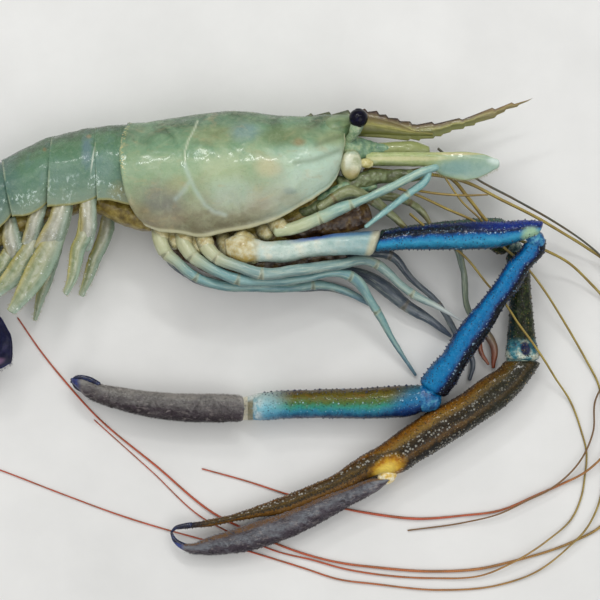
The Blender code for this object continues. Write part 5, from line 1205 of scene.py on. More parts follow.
def rostrum_paint():
    p = Paint("rostrum_surface")
    rise = p.mark("rise")
    colour = p.ramp(p.plus(rise, p.times(p.minus(p.noise(2.0), 0.5), 0.16)), (
        (0.0, (142, 142, 90)), (0.16, (104, 108, 52)), (0.44, (92, 94, 40)), (0.52, (116, 116, 56)),
        (0.6, (146, 142, 78)), (0.7, (120, 112, 62)), (0.86, (98, 82, 50)), (0.94, (60, 42, 30)),
        (1.0, (44, 30, 22)),
    ))
    root = p.from_x(364, 344)
    green = p.ramp(p.noise(3.4, 4.0), ((0.35, (88, 118, 84)), (0.65, (124, 144, 104))))
    colour = p.mix(p.times(root, p.span(rise, 0.94, 0.8, 0.35, 0.95)), colour, green)
    tip = p.from_x(455, 520)
    colour = p.tint(colour, tip, 0.5, (150, 124, 92))
    streak = p.span(p.noise(1.2, 4.0, 0.6, p.stretch(0.25, 1.0, 1.0)), 0.5, 0.7)
    colour = p.tint(colour, streak, 0.4, (74, 76, 34))
    rough = p.patchy(1.5, 0.35, 0.55)
    return p.finish(
        colour, rough, 0.3, 0.15, 0.15, (1.2, 1.0, 0.6), p.noise(0.8, 4.0, 0.6, p.stretch(0.4, 1.0, 1.0)),
        0.4, 0.1,
    )


def tail_paint():
    p = Paint("tail_surface")
    rise = p.mark("rise")
    along = p.mark("along")
    wave = p.wave(0.55, 4.0, 5.0, 0.6)
    level = p.level(rise, wave)
    colour = p.ramp(level, (
        (0.0, (134, 150, 124)), (0.16, (112, 138, 116)), (0.38, (92, 124, 104)), (0.6, (88, 124, 98)),
        (0.8, (80, 116, 82)), (1.0, (50, 74, 46)),
    ))
    streaks = p.span(p.noise(2.4, 5.0, 0.6, p.stretch(1.0, 0.3, 1.0)), 0.5, 0.7)
    colour = p.tint(colour, streaks, 0.35, (86, 120, 116))
    dark = p.from_x(30, -10)
    colour = p.tint(colour, dark, 0.7, (58, 86, 84))
    for x, y, wide, tall, turn, share, tint in TAIL_SPOTS:
        colour = p.tint(colour, p.spot(x, y, wide, tall, turn, 1.2, 0.8, 1.6), share, tint)
    cloud = p.span(p.noise(1.3, 5.0, 0.65), 0.5, 0.72)
    colour = p.tint(colour, cloud, 0.3, (140, 162, 134))
    dots = p.span(p.cells(0.6), 0.22, 0.1)
    colour = p.tint(colour, dots, 0.3, (50, 70, 60))
    # Painted highlight: small whitish sparkles on the lower flank of each segment.
    painted_sparkle = p.times(
        p.span(p.noise(0.9, 4.0, 0.7, p.stretch(1.0, 0.6, 1.0)), 0.52, 0.6),
        p.span(p.noise(5.0, 2.0, 0.5, None, 0.5), 0.48, 0.6),
    )
    painted_sparkle = p.times(painted_sparkle, p.span(rise, -0.1, -0.5))
    colour = p.tint(colour, painted_sparkle, 0.8, (206, 224, 216))
    grey = p.times(p.span(rise, -0.45, -0.95), 0.55)
    colour = p.mix(grey, colour, (148, 168, 150))
    gold = p.span(rise, -0.93, -1.0)
    colour = p.tint(colour, gold, 0.7, (178, 166, 84))
    edge = p.times(p.span(along, 0.95, 0.99), p.span(p.noise(4.0, 3.0), 0.4, 0.6))
    colour = p.tint(colour, edge, 0.4, (176, 186, 150))
    rough = p.patchy(1.0, 0.2, 0.5)
    fine = p.plus(p.noise(0.45, 4.0), p.times(p.noise(1.5, 4.0), 1.2))
    return p.finish(colour, rough, 0.5, 0.16, 0.15, (1.2, 1.4, 1.2), fine, 0.8, 0.22, 0.2)


def flesh_paint(name, stops):
    p = Paint(name)
    colour = p.ramp(p.noise(2.6, 6.0, 0.62), stops)
    rough = p.patchy(1.0, 0.28, 0.5)
    return p.finish(colour, rough, 0.45, 0.14, 0.15, (1.8, 1.2, 0.7), p.noise(0.9, 5.0, 0.6), 0.7, 0.25)


def claw_right_paint(kind):
    p = Paint(f"claw_{kind}_right_surface")
    side = p.mark("round")
    wave = p.wave(0.34, 2.4, 5.0, 0.6)
    level = p.level(side, wave)
    if kind == "arm":
        colour = p.ramp(level, (
            (0.0, (4, 52, 78)), (0.12, (20, 100, 134)), (0.3, (46, 142, 180)), (0.46, (20, 116, 166)),
            (0.56, (2, 66, 126)), (0.64, (0, 12, 34)), (0.84, (2, 10, 18)), (1.0, (0, 30, 92)),
        ))
        elbow = p.spot(530, 236, 9, 9, 0, 0.9, 0.5, 1.6)
        colour = p.tint(colour, elbow, 0.9, (158, 190, 150))
        royal = p.from_x(450, 515)
        colour = p.tint(colour, p.times(royal, p.span(side, 0.1, 0.6)), 0.75, (0, 40, 134))
    elif kind == "wrist":
        colour = p.ramp(level, (
            (0.0, (0, 2, 8)), (0.2, (0, 4, 18)), (0.3, (0, 34, 92)), (0.42, (4, 98, 154)),
            (0.75, (8, 118, 172)), (0.92, (4, 76, 136)), (1.0, (0, 32, 76)),
        ))
        near = p.times(p.from_y(330, 385), p.span(side, -0.3, 0.1))
        colour = p.tint(colour, near, 0.4, (30, 128, 178))
        black = p.times(p.from_y(300, 370), p.span(side, -0.3, -0.5))
        colour = p.tint(colour, black, 0.8, (0, 4, 18))
    else:
        colour = p.ramp(level, (
            (0.0, (10, 26, 52)), (0.08, (20, 66, 104)), (0.22, (44, 122, 150)), (0.4, (46, 132, 112)),
            (0.54, (72, 102, 44)), (0.78, (98, 88, 22)), (1.0, (58, 40, 8)),
        ))
        rust = p.span(p.noise(2.8, 4.0, 0.6, p.stretch(0.5, 1.0, 1.0)), 0.5, 0.66)
        colour = p.tint(colour, p.times(rust, p.span(side, 0.1, 0.6)), 0.5, (122, 78, 24))
        slant = p.minus(p.x, p.times(side, 4.0))
        hand = p.span(slant, px_x(380), px_x(410))
        sea = p.ramp(
            level,
            (
                (0.0, (0, 4, 20)), (0.2, (0, 40, 104)), (0.45, (6, 104, 158)), (0.8, (30, 104, 132)),
                (1.0, (20, 66, 70)),
            ),
        )
        colour = p.tint(colour, hand, 0.9, sea)
        pale = p.from_x(296, 262)
        colour = p.tint(
            colour, pale, 0.85,
            p.ramp(level, ((0.0, (70, 142, 176)), (0.5, (130, 190, 208)), (1.0, (176, 196, 190)))),
        )
        white = p.times(p.from_x(266, 254), p.span(p.noise(3.0), 0.35, 0.6))
        colour = p.tint(colour, white, 0.8, (222, 228, 222))
        tan = p.times(p.from_x(254, 252), p.span(side, 0.75, 0.4))
        colour = p.tint(colour, tan, 0.85, (150, 138, 100))
        ring = p.times(p.from_x(248, 247), p.from_x(239, 241))
        felt = p.from_x(242, 239)
        colour = p.mix(ring, colour, (218, 212, 190))
        dark_felt = p.ramp(p.noise(1.6, 6.0, 0.7), ((0.3, (30, 24, 28)), (0.7, (70, 62, 66))))
        colour = p.mix(felt, colour, dark_felt)
        tip = p.from_x(84, 77)
        colour = p.mix(tip, colour, (20, 34, 96))
    dark_share = p.span(side, -0.8, 0.9) if kind == "arm" else 1.0
    grain = p.times(p.span(p.noise(0.6, 4.0, 0.65), 0.54, 0.66), dark_share)
    colour = p.tint(colour, grain, 0.5, (4, 14, 36))
    light = p.span(p.noise(0.8, 3.0, 0.65), 0.6, 0.68)
    colour = p.tint(colour, light, 0.14, (120, 184, 206))
    # Painted highlights: pale glints along the border between two shades of the claw.
    border = p.math("ABSOLUTE", p.minus(level, {"arm": 0.585, "wrist": 0.27, "palm": 0.52}[kind]))
    painted_glints = p.times(p.span(border, 0.08, 0.02), p.span(p.cells(0.9), 0.36, 0.22))
    painted_glints = p.times(painted_glints, p.span(p.noise(2.6, 2.0), 0.42, 0.6))
    colour = p.tint(colour, painted_glints, 0.7, (170, 200, 220))
    rough = p.patchy(0.9, 0.16, 0.42)
    fine = p.plus(p.noise(0.5, 4.0), p.noise(1.2, 3.0))
    return p.finish(colour, rough, 0.22, 0.07, 0.0, bump=fine, strength=0.9, bump_depth=0.28, specular=0.12)


def claw_left_paint(kind):
    p = Paint(f"claw_{kind}_left_surface")
    side = p.mark("round")
    wave = p.wave(0.4, 3.0, 5.0, 0.6)
    level = p.level(side, wave)
    if kind == "palm":
        colour = p.ramp(level, (
            (0.0, (14, 12, 10)), (0.16, (30, 26, 20)), (0.32, (96, 66, 18)), (0.46, (60, 48, 24)),
            (0.62, (88, 66, 20)), (0.74, (122, 92, 20)), (0.9, (128, 82, 14)), (1.0, (74, 42, 6)),
        ))
        shift = p.span(p.x, px_x(412), px_x(350), 0.04, -0.58)
        ridge = p.span(p.math("ABSOLUTE", p.plus(side, shift)), 0.38, 0.2)
        edge = p.times(p.span(side, -0.6, -0.8), p.from_x(372, 396))
        bands = p.math("MAXIMUM", ridge, edge)
        colour = p.tint(colour, bands, 0.7, (10, 8, 8))
        grains = p.times(bands, p.span(p.cells(1.0), 0.42, 0.26))
        grains = p.times(grains, p.span(p.noise(1.7, 2.0), 0.34, 0.46))
        colour = p.tint(colour, grains, 0.85, (164, 162, 152))
        shade = p.from_x(440, 510)
        colour = p.tint(colour, shade, 0.6, (34, 38, 20))
        band = p.times(p.span(side, -0.1, -0.5), p.from_x(372, 350))
        colour = p.tint(colour, band, 0.8, (112, 76, 22))
        gold = p.spot(388, 468, 17, 10, 28, 0.9, 0.5, 1.6)
        yellow = p.ramp(p.noise(1.4, 4.0), ((0.35, (166, 104, 6)), (0.6, (206, 158, 40))))
        colour = p.tint(colour, gold, 0.95, yellow)
        lemon = p.spot(386, 471, 11, 6, 28, 1.0, 0.3, 1.6)
        colour = p.tint(colour, lemon, 0.8, (232, 206, 96))
        cream = p.spot(381, 480, 9, 5, 30, 0.8, 0.4, 1.0)
        colour = p.tint(colour, cream, 0.9, (220, 212, 178))
        tip = p.from_x(212, 190)
        colour = p.mix(tip, colour, (22, 20, 38))
    else:
        colour = p.ramp(
            p.noise(1.6, 5.0, 0.6), ((0.32, (10, 16, 8)), (0.52, (30, 42, 16)), (0.72, (66, 80, 34))),
        )
        if kind == "wrist":
            left = p.span(side, 0.3, 0.9)
            colour = p.tint(colour, left, 0.6, (10, 52, 66))
            joint = p.from_y(336, 346)
            pale = p.ramp(
                p.noise(3.4, 3.0), ((0.36, (20, 72, 96)), (0.5, (66, 130, 142)), (0.64, (200, 206, 188))),
            )
            colour = p.mix(joint, colour, pale)
            oval = p.spot(526, 349, 5, 7, 10, 0.5, 0.3, 1.2)
            colour = p.mix(oval, colour, (10, 22, 64))
        else:
            colour = p.mix(p.span(side, -0.2, 0.8), colour, (60, 92, 80))
    grain = p.span(p.noise(0.6, 4.0, 0.65), 0.5, 0.62, 0.0, 0.5)
    if kind == "palm":
        grain = p.times(grain, p.span(gold, 0.0, 0.5, 1.0, 0.1))
    colour = p.mix(grain, colour, (8, 7, 4))
    light = p.span(p.noise(0.7, 3.0, 0.65), 0.6, 0.68)
    colour = p.tint(colour, light, 0.3, (150, 134, 88))
    rough = p.patchy(0.9, 0.16, 0.46)
    fine = p.plus(p.noise(0.5, 4.0), p.noise(1.2, 3.0))
    return p.finish(colour, rough, 0.24, 0.08, 0.0, bump=fine, strength=1.0, bump_depth=0.32, specular=0.12)


def stud_paint(name, dark, light, share=0.4):
    p = Paint(name)
    colour = p.mix(p.span(p.noise(1.2, 3.0), 0.45, 0.6), dark, light)
    colour = p.mix(share, colour, p.ramp(p.noise(4.0), ((0.3, dark), (0.7, light))))
    return p.finish(
        colour, p.patchy(0.8, 0.15, 0.35), 0.7, 0.08, 0.0, bump=p.noise(0.3, 2.0), strength=0.2,
        bump_depth=0.04,
    )


def finger_paint(name, stops, tip_at, root_at, crest=None):
    """Felted finger shell, shaded across by stops; navy at its tip and pale at its hinge, places along X."""
    p = Paint(name)
    wave = p.wave(1.3, 2.2, 6.0, 0.7, p.stretch(0.5, 1.0, 1.0))
    level = p.level(p.mark("round"), wave)
    colour = p.ramp(level, stops)
    folds = p.span(p.noise(1.3, 5.0, 0.65, p.stretch(0.4, 1.0, 1.0), 1.4), 0.52, 0.66)
    colour = p.tint(colour, folds, 0.55, (150, 142, 138))
    pits = p.span(p.noise(0.9, 4.0, 0.7, p.stretch(0.5, 1.0, 1.0)), 0.44, 0.34)
    colour = p.tint(colour, pits, 0.7, (24, 20, 24))
    if crest:
        line = p.times(p.span(p.mark("round"), 0.46, 0.7), p.span(p.noise(2.0), 0.3, 0.45))
        colour = p.tint(colour, line, 0.9, crest)
    tip = p.from_x(tip_at + 9, tip_at + 3)
    colour = p.mix(tip, colour, p.ramp(p.noise(1.0), ((0.35, (22, 28, 84)), (0.7, (40, 66, 140)))))
    root = p.from_x(root_at - 5, root_at - 2)
    colour = p.mix(root, colour, p.ramp(p.noise(0.9), ((0.35, (176, 160, 116)), (0.65, (222, 214, 186)))))
    rough = p.span(tip, 0.0, 1.0, 0.62, 0.25)
    return p.finish(
        colour, rough, 0.15, 0.25, 0.0, bump=p.noise(0.5, 6.0, 0.75, p.stretch(0.5, 1.0, 1.0)),
        strength=1.0, bump_depth=0.3, sheen=0.2,
    )


def hair_paint(name, one, two, lit=None):
    p = Paint(name)
    colour = p.ramp(p.noise(1.1, 3.0), ((0.35, one), (0.68, two)))
    if lit:
        colour = p.mix(p.mark("tone"), colour, lit)
    return p.finish(
        colour, p.patchy(2.0, 0.4, 0.65), 0.15, 0.3, 0.0, bump=p.noise(0.3), strength=0.1, bump_depth=0.02,
    )


def leg_paint(name, stops, joint, tip, streaks=0.3, root=None, end=0.6):
    """Thin pale shell with darker joints and a tinted tip. The joint mark is 1 at each joint."""
    p = Paint(name)
    base = p.ramp(p.noise(1.0, 4.0, 0.55, p.lanes(1.1, 9.0), 0.3), stops)
    under = p.span(p.mark("round"), -0.2, -0.95)
    base = p.tint(base, under, 0.5, (58, 78, 84))
    if root:
        base = p.tint(base, p.span(p.mark("reach"), 24.0, 8.0), 0.9, root)
    streak = p.span(p.noise(0.5, 4.0, 0.6, p.lanes(1.6, 7.0)), 0.5, 0.7)
    base = p.tint(base, streak, streaks, (214, 220, 200))
    dim = p.span(p.noise(0.5, 4.0, 0.6, p.lanes(1.9, 5.0)), 0.52, 0.72)
    base = p.tint(base, dim, 0.3, (76, 92, 84))
    ring = p.span(p.mark("joint"), 0.4, 0.9)
    base = p.tint(base, ring, 0.45, joint)
    line = p.times(p.span(p.mark("crease"), 0.4, 0.8), p.span(p.mark("round"), 0.35, -0.3))
    base = p.tint(base, line, 0.45, (66, 66, 50))
    base = p.tint(base, p.span(p.mark("along"), 0.8, 1.0), end, tip)
    rough = p.patchy(1.2, 0.25, 0.45)
    return p.finish(base, rough, 0.5, 0.12, 0.25, (1.2, 1.4, 1.4), p.noise(0.7, 3.0), 0.4, 0.08)


def base_paint():
    p = Paint("claw_base_surface")
    base = p.ramp(
        p.noise(3.5, 5.0, 0.6), ((0.3, (158, 182, 172)), (0.5, (188, 204, 194)), (0.7, (206, 208, 190))),
    )
    hip = p.from_x(262, 250)
    base = p.mix(
        hip, base,
        p.ramp(
            p.noise(2.4, 5.0, 0.62),
            ((0.3, (150, 132, 76)), (0.46, (186, 172, 124)), (0.6, (206, 202, 170))),
        ),
    )
    rust = p.times(p.times(hip, p.span(p.mark("round"), -0.3, -0.8)), p.span(p.noise(2.0), 0.35, 0.5))
    base = p.tint(base, rust, 0.8, (176, 146, 62))
    line = p.times(p.span(p.mark("round"), 0.5, 0.85), p.from_x(276, 318))
    base = p.tint(base, line, 0.9, (20, 74, 172))
    low = p.times(p.span(p.mark("round"), -0.55, -0.95), p.from_x(262, 285))
    base = p.tint(base, low, 0.6, (84, 100, 84))
    near = p.from_x(300, 368)
    base = p.tint(base, near, 0.65, (98, 148, 156))
    ring = p.times(p.span(p.mark("along"), 0.9, 0.94), p.span(p.mark("along"), 1.0, 0.97))
    base = p.tint(base, ring, 0.7, (190, 178, 140))
    grain = p.span(p.noise(0.6, 4.0, 0.7), 0.52, 0.68)
    base = p.tint(base, grain, 0.28, (112, 132, 120))
    rough = p.patchy(1.2, 0.25, 0.45)
    return p.finish(
        base, rough, 0.5, 0.12, 0.22, (1.4, 1.3, 1.1), p.plus(p.noise(0.5, 3.0), p.noise(1.6, 3.0)), 0.5,
        0.12,
    )


def feeler_paint(name, near, far):
    p = Paint(name)
    share = p.mark("along")
    colour = p.mix(p.span(share, 0.35, 0.75), near, far)
    colour = p.tint(colour, p.span(p.noise(6.0, 3.0), 0.42, 0.62), 0.4, (104, 78, 34))
    edge = p.span(p.mark("round"), 0.1, -0.8)
    colour = p.tint(colour, edge, 0.55, (88, 62, 30))
    ring = p.span(p.math("SINE", p.times(p.mark("reach"), 9.0)), -0.2, 0.8)
    colour = p.tint(colour, ring, 0.3, (84, 56, 26))
    return p.finish(
        colour, p.patchy(2.0, 0.35, 0.55), 0.2, 0.2, 0.0, bump=p.noise(0.4), strength=0.2, bump_depth=0.04,
    )


def knuckle_paint(name, stops):
    p = Paint(name)
    colour = p.ramp(p.noise(1.8, 5.0, 0.65), stops)
    rough = p.patchy(0.9, 0.18, 0.42)
    return p.finish(
        colour, rough, 0.5, 0.1, 0.0, bump=p.plus(p.noise(0.5, 4.0), p.noise(1.2, 3.0)), strength=0.6,
        bump_depth=0.2,
    )


def plume_paint(name, stops, edge):
    """Ribbed wet blade. The round mark is 1 or -1 at its edges, and ribs is 1 on each rib."""
    p = Paint(name)
    base = p.ramp(p.noise(1.0, 5.0, 0.6, p.lanes(1.3, 3.0), 0.3), stops)
    brown = p.span(p.noise(0.8, 3.0, 0.6, p.lanes(1.0, 2.2), 0.5), 0.54, 0.7)
    base = p.tint(base, brown, 0.6, (122, 112, 62))
    start = p.span(p.mark("along"), 0.62, 0.2)
    base = p.tint(base, start, 0.8, (170, 168, 146))
    base = p.tint(base, p.times(p.mark("ribs"), p.span(p.noise(2.4, 3.0), 0.38, 0.6)), 0.4, (204, 206, 192))
    base = p.tint(
        base, p.times(p.mark("gaps"), p.span(p.noise(2.0, 3.0, 0.5, None, 0.6), 0.4, 0.62)), 0.32,
        (122, 124, 92),
    )
    cool = p.span(p.mark("round"), 0.0, -0.8)
    base = p.tint(base, cool, 0.6, (104, 138, 122))
    border = p.span(p.mark("round"), 0.4, 0.95)
    base = p.tint(base, border, 0.7, edge)
    end = p.span(p.mark("along"), 0.75, 1.0)
    base = p.tint(base, end, 0.5, (138, 158, 148))
    # Painted highlight: small whitish sparkles over the blade.
    painted_sparkle = p.times(p.span(p.noise(0.8, 4.0, 0.7), 0.58, 0.64), p.span(p.noise(4.0, 2.0), 0.5, 0.62))
    base = p.tint(base, painted_sparkle, 0.8, (232, 236, 230))
    rough = p.patchy(1.2, 0.15, 0.35)
    return p.finish(base, rough, 0.7, 0.07, 0.25, (1.4, 1.3, 0.9), p.noise(0.9, 4.0, 0.6), 0.6, 0.16)


def eye_paint():
    p = Paint("eye_surface")
    cell = p.cells(0.24)
    dark = p.ramp(cell, ((0.0, (18, 16, 40)), (0.6, (6, 5, 16))))
    glow = p.span(p.noise(2.2, 2.0), 0.5, 0.75)
    colour = p.mix(p.times(glow, 0.25), dark, (32, 32, 84))
    return p.finish(
        colour, p.patchy(1.0, 0.12, 0.25), 0.2, 0.05, 0.0, bump=cell, strength=0.15, bump_depth=0.03,
        specular=0.06,
    )


def plate_paint(name, stops, edge, vein, along_tint=None, spots=(), wet=0.5, shine=0.32, under=0.3):
    """A thin blade with fine veins along it and a tinted edge. The round mark is 1 or -1 at its edges."""
    p = Paint(name)
    base = p.ramp(p.noise(3.5, 4.0, 0.6), stops)
    lines = p.span(p.noise(0.7, 4.0, 0.6, p.stretch(0.3, 1.0, 1.0)), 0.48, 0.66)
    base = p.tint(base, lines, 0.35, vein)
    if along_tint:
        base = p.tint(base, p.span(p.mark("along"), 0.35, 1.0), 0.8, along_tint)
    for x, y, wide, tall, turn, share, tint in spots:
        base = p.tint(base, p.spot(x, y, wide, tall, turn, 1.2, 0.5, 2.5), share, tint)
    border = p.span(p.math("ABSOLUTE", p.mark("round")), 0.86, 0.99)
    base = p.tint(base, border, 0.6, edge)
    rough = p.patchy(1.2, 0.2, 0.4)
    return p.finish(base, rough, wet, 0.1, under, (1.2, 1.2, 0.9), p.noise(0.6, 4.0, 0.6), 0.4, 0.08, shine)


def floor_paint():
    p = Paint("floor_surface")
    base = p.ramp(p.noise(60.0, 6.0, 0.6), ((0.3, (216, 216, 214)), (0.7, (228, 228, 226))))
    return p.finish(
        base, p.patchy(8.0, 0.7, 0.85), 0.0, 0.1, 0.0, bump=p.noise(2.0, 6.0), strength=0.1, bump_depth=0.1,
    )


def row_reach(grid):
    """Distance along the piece of each row's middle, in millimetres."""
    return travel(grid.mean(axis=1))


def pushed(grid, amount):
    """The grid moved out along its own surface by an amount for each point, in millimetres."""
    return grid + normals(grid) * np.broadcast_to(amount, grid.shape[:2])[..., None]


def lumpy(grid, seed, *layers):
    """Several layers of smooth lumps, each a size and an amount in millimetres."""
    total = np.zeros(grid.shape[:2])
    for turn, (size, amount) in enumerate(layers):
        total = total + amount * lumps(grid, size, seed + turn)
    return total


def line_mark(grid, lines):
    """A soft mark along lines of the picture's grid: 1 on each line."""
    mark = np.zeros(grid.shape[:2])
    for line, width in lines:
        away = near_line(grid, [px(*point) for point in line])
        mark = np.maximum(mark, np.exp(-((away / width) ** 2)))
    return mark


def padded(mark, count):
    """A mark with its end rows repeated over the rounded ends of its grid."""
    extra = count - len(mark)
    return np.pad(mark, ((extra // 2, extra - extra // 2), (0, 0)), mode="edge")


def shares(grid):
    """0 at a grid's first row and 1 at its last."""
    return np.linspace(0.0, 1.0, len(grid))[:, None]


def low_edge(along, across, start, full):
    """A soft mark on the rolled lower edge of a shell."""
    return smooth_step(-along, start, full)[None, :] * smooth_step(np.abs(across), 0.5, 0.62)[None, :]


def edge_rows(rows):
    """Edge rows on the picture's grid, turned into millimetres."""
    return [px(*one) + px(*two) + (high, half) for one, two, high, half in rows]


def near_points(grid, places, width):
    """A soft mark around points of the plan: 1 at each point."""
    mark = np.zeros(grid.shape[:2])
    for place in places:
        away = np.linalg.norm(grid[..., :2] - np.array(place[:2]), axis=-1)
        mark = np.maximum(mark, np.exp(-((away / width) ** 2)))
    return mark


def dress_carapace(surface):
    grid, along, across = shell_grid(CARAPACE, SHELL_GAP, SHELL_SIDES)
    reach = row_reach(grid)[:, None]
    total = float(reach[-1, 0])
    groove, band, fold = (line_mark(grid, lines) for lines in (GROOVES, BANDS, FOLDS))
    low = low_edge(along, across, 0.945, 0.985)
    behind_bead = np.exp(-(((-along - 0.915) / 0.02) ** 2))[None, :]
    front = smooth_step(reach, total - 1.0, total - 0.5)
    rear = 1.0 - smooth_step(reach, 0.9, 1.3)
    amount = lumpy(grid, 3, (11.0, 0.35), (5.0, 0.26), (1.8, 0.1), (0.8, 0.03))
    amount = amount - 0.3 * groove - 0.12 * band - 0.22 * fold
    amount = amount + 0.22 * low - 0.12 * behind_bead + 0.2 * front + 0.2 * rear
    grid, tips = rounded(pushed(grid, amount), 0.0, 0.0, 2)
    seam = rear * smooth_step(along, -0.2, 0.2)[None, :]
    marks = {"groove": groove, "band": band, "fold": fold, "rim": np.maximum(low, front), "seam": seam}
    marks = {mark: padded(values, len(grid)) for mark, values in marks.items()}
    marks["rise"] = along[None, :]
    settle(grid_piece("carapace_skin", grid, tips, marks), surface, "carapace")


def dress_rostrum(surface):
    """The toothed blade between its two edge lines, and its swollen root."""
    corners = {point[0] for point in BLADE_TOP + BLADE_LOW}
    places = sorted(corners | set(np.arange(22.8, 98.0, 0.4)))
    top_line, low_line = np.array(BLADE_TOP), np.array(BLADE_LOW)
    smooth_top = top_line[::3]
    levels = np.concatenate((np.linspace(1.0, 0.0, 15), np.linspace(0.0, 1.0, 15)[1:-1]))
    sign = np.concatenate((np.ones(15), -np.ones(13)))
    rows, rise = [], []
    for place in places:
        top = float(np.interp(place, top_line[:, 0], top_line[:, 1]))
        low = float(np.interp(place, low_line[:, 0], low_line[:, 1]))
        ridge = float(np.interp(place, smooth_top[:, 0], smooth_top[:, 1]))
        share = (place - places[0]) / (places[-1] - places[0])
        half = BLADE_HALF * (1.0 - 0.6 * share)
        height = low + levels * (top - low)
        body = np.clip((height - low) / max(ridge - low, 0.1), 0.0, 1.0)
        thick = half * np.clip(np.sin(np.pi * np.clip(body, 0.0, 1.0)), 0.0, 1.0) ** 0.55
        rib = 0.34 * half * np.exp(-(((body - 0.46) / 0.1) ** 2))
        thick = np.maximum(thick + rib, 0.06)
        thick[(levels == 1.0) | (levels == 0.0)] = 0.0
        rows.append(np.column_stack((np.full(len(levels), place), height, BLADE_HEIGHT + sign * thick)))
        rise.append(levels)
    grid = np.array(rows)
    middle = grid.mean(axis=1)
    tips = [middle[0], np.array((BLADE_TIP[0], BLADE_TIP[1], BLADE_HEIGHT))]
    piece = grid_piece("rostrum_blade_skin", grid, tips, {"rise": np.array(rise)})
    settle(piece, surface)
    grid, across, up = strip_grid(ROOT_SHOWN, 0.4, 90)
    ridge = 0.25 * np.exp(-(((across - 0.1) / 0.12) ** 2)) * (up > 0)
    grid, tips = rounded(pushed(grid, lumpy(grid, 5, (5.0, 0.2), (1.5, 0.05)) + ridge), 0.5, 0.5)
    piece = grid_piece("rostrum_root_skin", grid, tips, {"rise": 0.56 + 0.3 * across[None, :]})
    settle(piece, surface)


def dress_tail(surface):
    for number, rows in enumerate(SEGMENTS, start=1):
        # A narrower first row slides under the shell ahead.
        head = np.array(rows[0], float)
        step = head - np.array(rows[1], float)
        size = (4.2 if number == 1 else 1.6) / np.linalg.norm((step[:2] + step[2:4]) / 2.0)
        under = head + step * size
        centre = (under[:2] + under[2:4]) / 2.0
        for index in (0, 2):
            under[index : index + 2] = centre + (under[index : index + 2] - centre) * 0.955
        under[6] = head[6] * 0.955
        grid, along, across = shell_grid((tuple(under),) + rows, TAIL_GAP, TAIL_SIDES)
        reach = row_reach(grid)[:, None]
        total = float(reach[-1, 0])
        rear = smooth_step(reach, total - 0.75, total - 0.4)
        crease = np.exp(-(((reach - total + 1.3) / 0.3) ** 2))
        low = low_edge(along, across, 0.93, 0.98)
        shallow = np.exp(-(((reach - total * 0.42) / 0.6) ** 2)) * smooth_step(along, 0.0, 0.4)[None, :]
        amount = lumpy(grid, 20 + number, (7.0, 0.22), (2.6, 0.1), (0.9, 0.035))
        amount = amount + 0.1 * rear - 0.07 * crease + 0.1 * low - 0.1 * shallow
        grid, tips = rounded(pushed(grid, amount), 0.0, 0.0, 2)
        marks = {"rise": along[None, :], "along": padded(reach / total, len(grid))}
        name = f"tail_segment_{number}"
        settle(grid_piece(name + "_skin", grid, tips, marks), surface, name)


def dress_strip(
    name, rows, surface, seed, layers, ends=(0.6, 0.8), node=None, gap=0.25, sides=72,
    shaded=False,
):
    """A lumpy soft part over edge rows, its ends rounded; `shaded` if its paint changes across it."""
    grid, across, _ = strip_grid(rows, gap, sides)
    grid, tips = rounded(pushed(grid, lumpy(grid, seed, *layers)), *ends)
    marks = {"round": across[None, :]} if shaded else None
    settle(grid_piece(name, grid, tips, marks), surface, node)


def dress_flesh(surface):
    ends, slot_name = (0.5, 0.5), "flesh_olive"
    layers = ((5.0, 0.5), (2.0, 0.3), (0.8, 0.1))
    dress_strip("thorax_flesh", THORAX_SHOWN, surface, 40, layers, ends, "thorax", 0.4, 120)
    layers = ((4.0, 0.45), (1.6, 0.2), (0.7, 0.07))
    dress_strip("belly_flesh", BELLY_SHOWN, surface, 44, layers, ends, "belly", 0.4, 110)


def claw_grid(name, seed):
    """The claw piece's finer rings before its ends are rounded, with their places across."""
    rows = np.array(CLAW_ROWS[name], float)
    for index, shift in ROW_SHIFTS.get(name, {}).items():
        rows[index, :4] += shift
    grid, across, _ = strip_grid(rows, CLAW_GAP, CLAW_SIDES)
    amount = lumpy(grid, seed, (6.0, 0.18), (2.2, 0.12), (0.9, 0.07), (0.5, 0.04))
    if "palm" in name or "finger" in name:
        amount = amount * 0.8
    return pushed(grid, amount), across


def dress_claw(name, surface, seed):
    grid, across = claw_grid(name, seed)
    free = "palm" in name or "finger" in name
    full, tips = rounded(grid, 0.3, 1.0 if free else 0.4)
    marks = {"round": across[None, :], "along": shares(full)}
    settle(grid_piece(name + "_skin", full, tips, marks), surface, name)
    return grid, across


def scatter(grid, count, seed, keep):
    """Random points on a grid with their outward ways and columns; `keep` is a chance for each point."""
    draw = np.random.default_rng(seed)
    rows, sides = grid.shape[:2]
    area = np.linalg.norm(np.roll(grid, -1, axis=1) - grid, axis=2)
    chance = (np.clip(np.broadcast_to(keep, (rows, sides)), 0.0, 1.0) * area).ravel()
    picked = draw.choice(rows * sides, size=count, p=chance / chance.sum())
    row, column = picked // sides, picked % sides
    next_row, next_column = np.minimum(row + 1, rows - 1), (column + 1) % sides
    a, b = draw.random(count)[:, None], draw.random(count)[:, None]
    near = grid[row, column] * (1 - a) + grid[next_row, column] * a
    far = grid[row, next_column] * (1 - a) + grid[next_row, next_column] * a
    return near * (1 - b) + far * b, normals(grid)[row, column], column, draw


def row_of_points(grid, side_angle, gap, seed):
    """Points in a line along a grid at one angle round it, about `gap` millimetres apart."""
    draw = np.random.default_rng(seed)
    reach, sides = row_reach(grid), grid.shape[1]
    count = max(2, int(reach[-1] * (LINE_END - LINE_START) / gap))
    where = np.linspace(reach[-1] * LINE_START, reach[-1] * LINE_END, count)
    where = where + draw.uniform(-0.3, 0.3, count) * gap
    rows = np.clip(np.searchsorted(reach, where), 0, len(grid) - 1)
    index = int(round(side_angle / 360.0 * sides - 0.5)) % sides
    index = (index + draw.integers(-1, 2, count)) % sides
    return grid[rows, index], normals(grid)[rows, index], draw


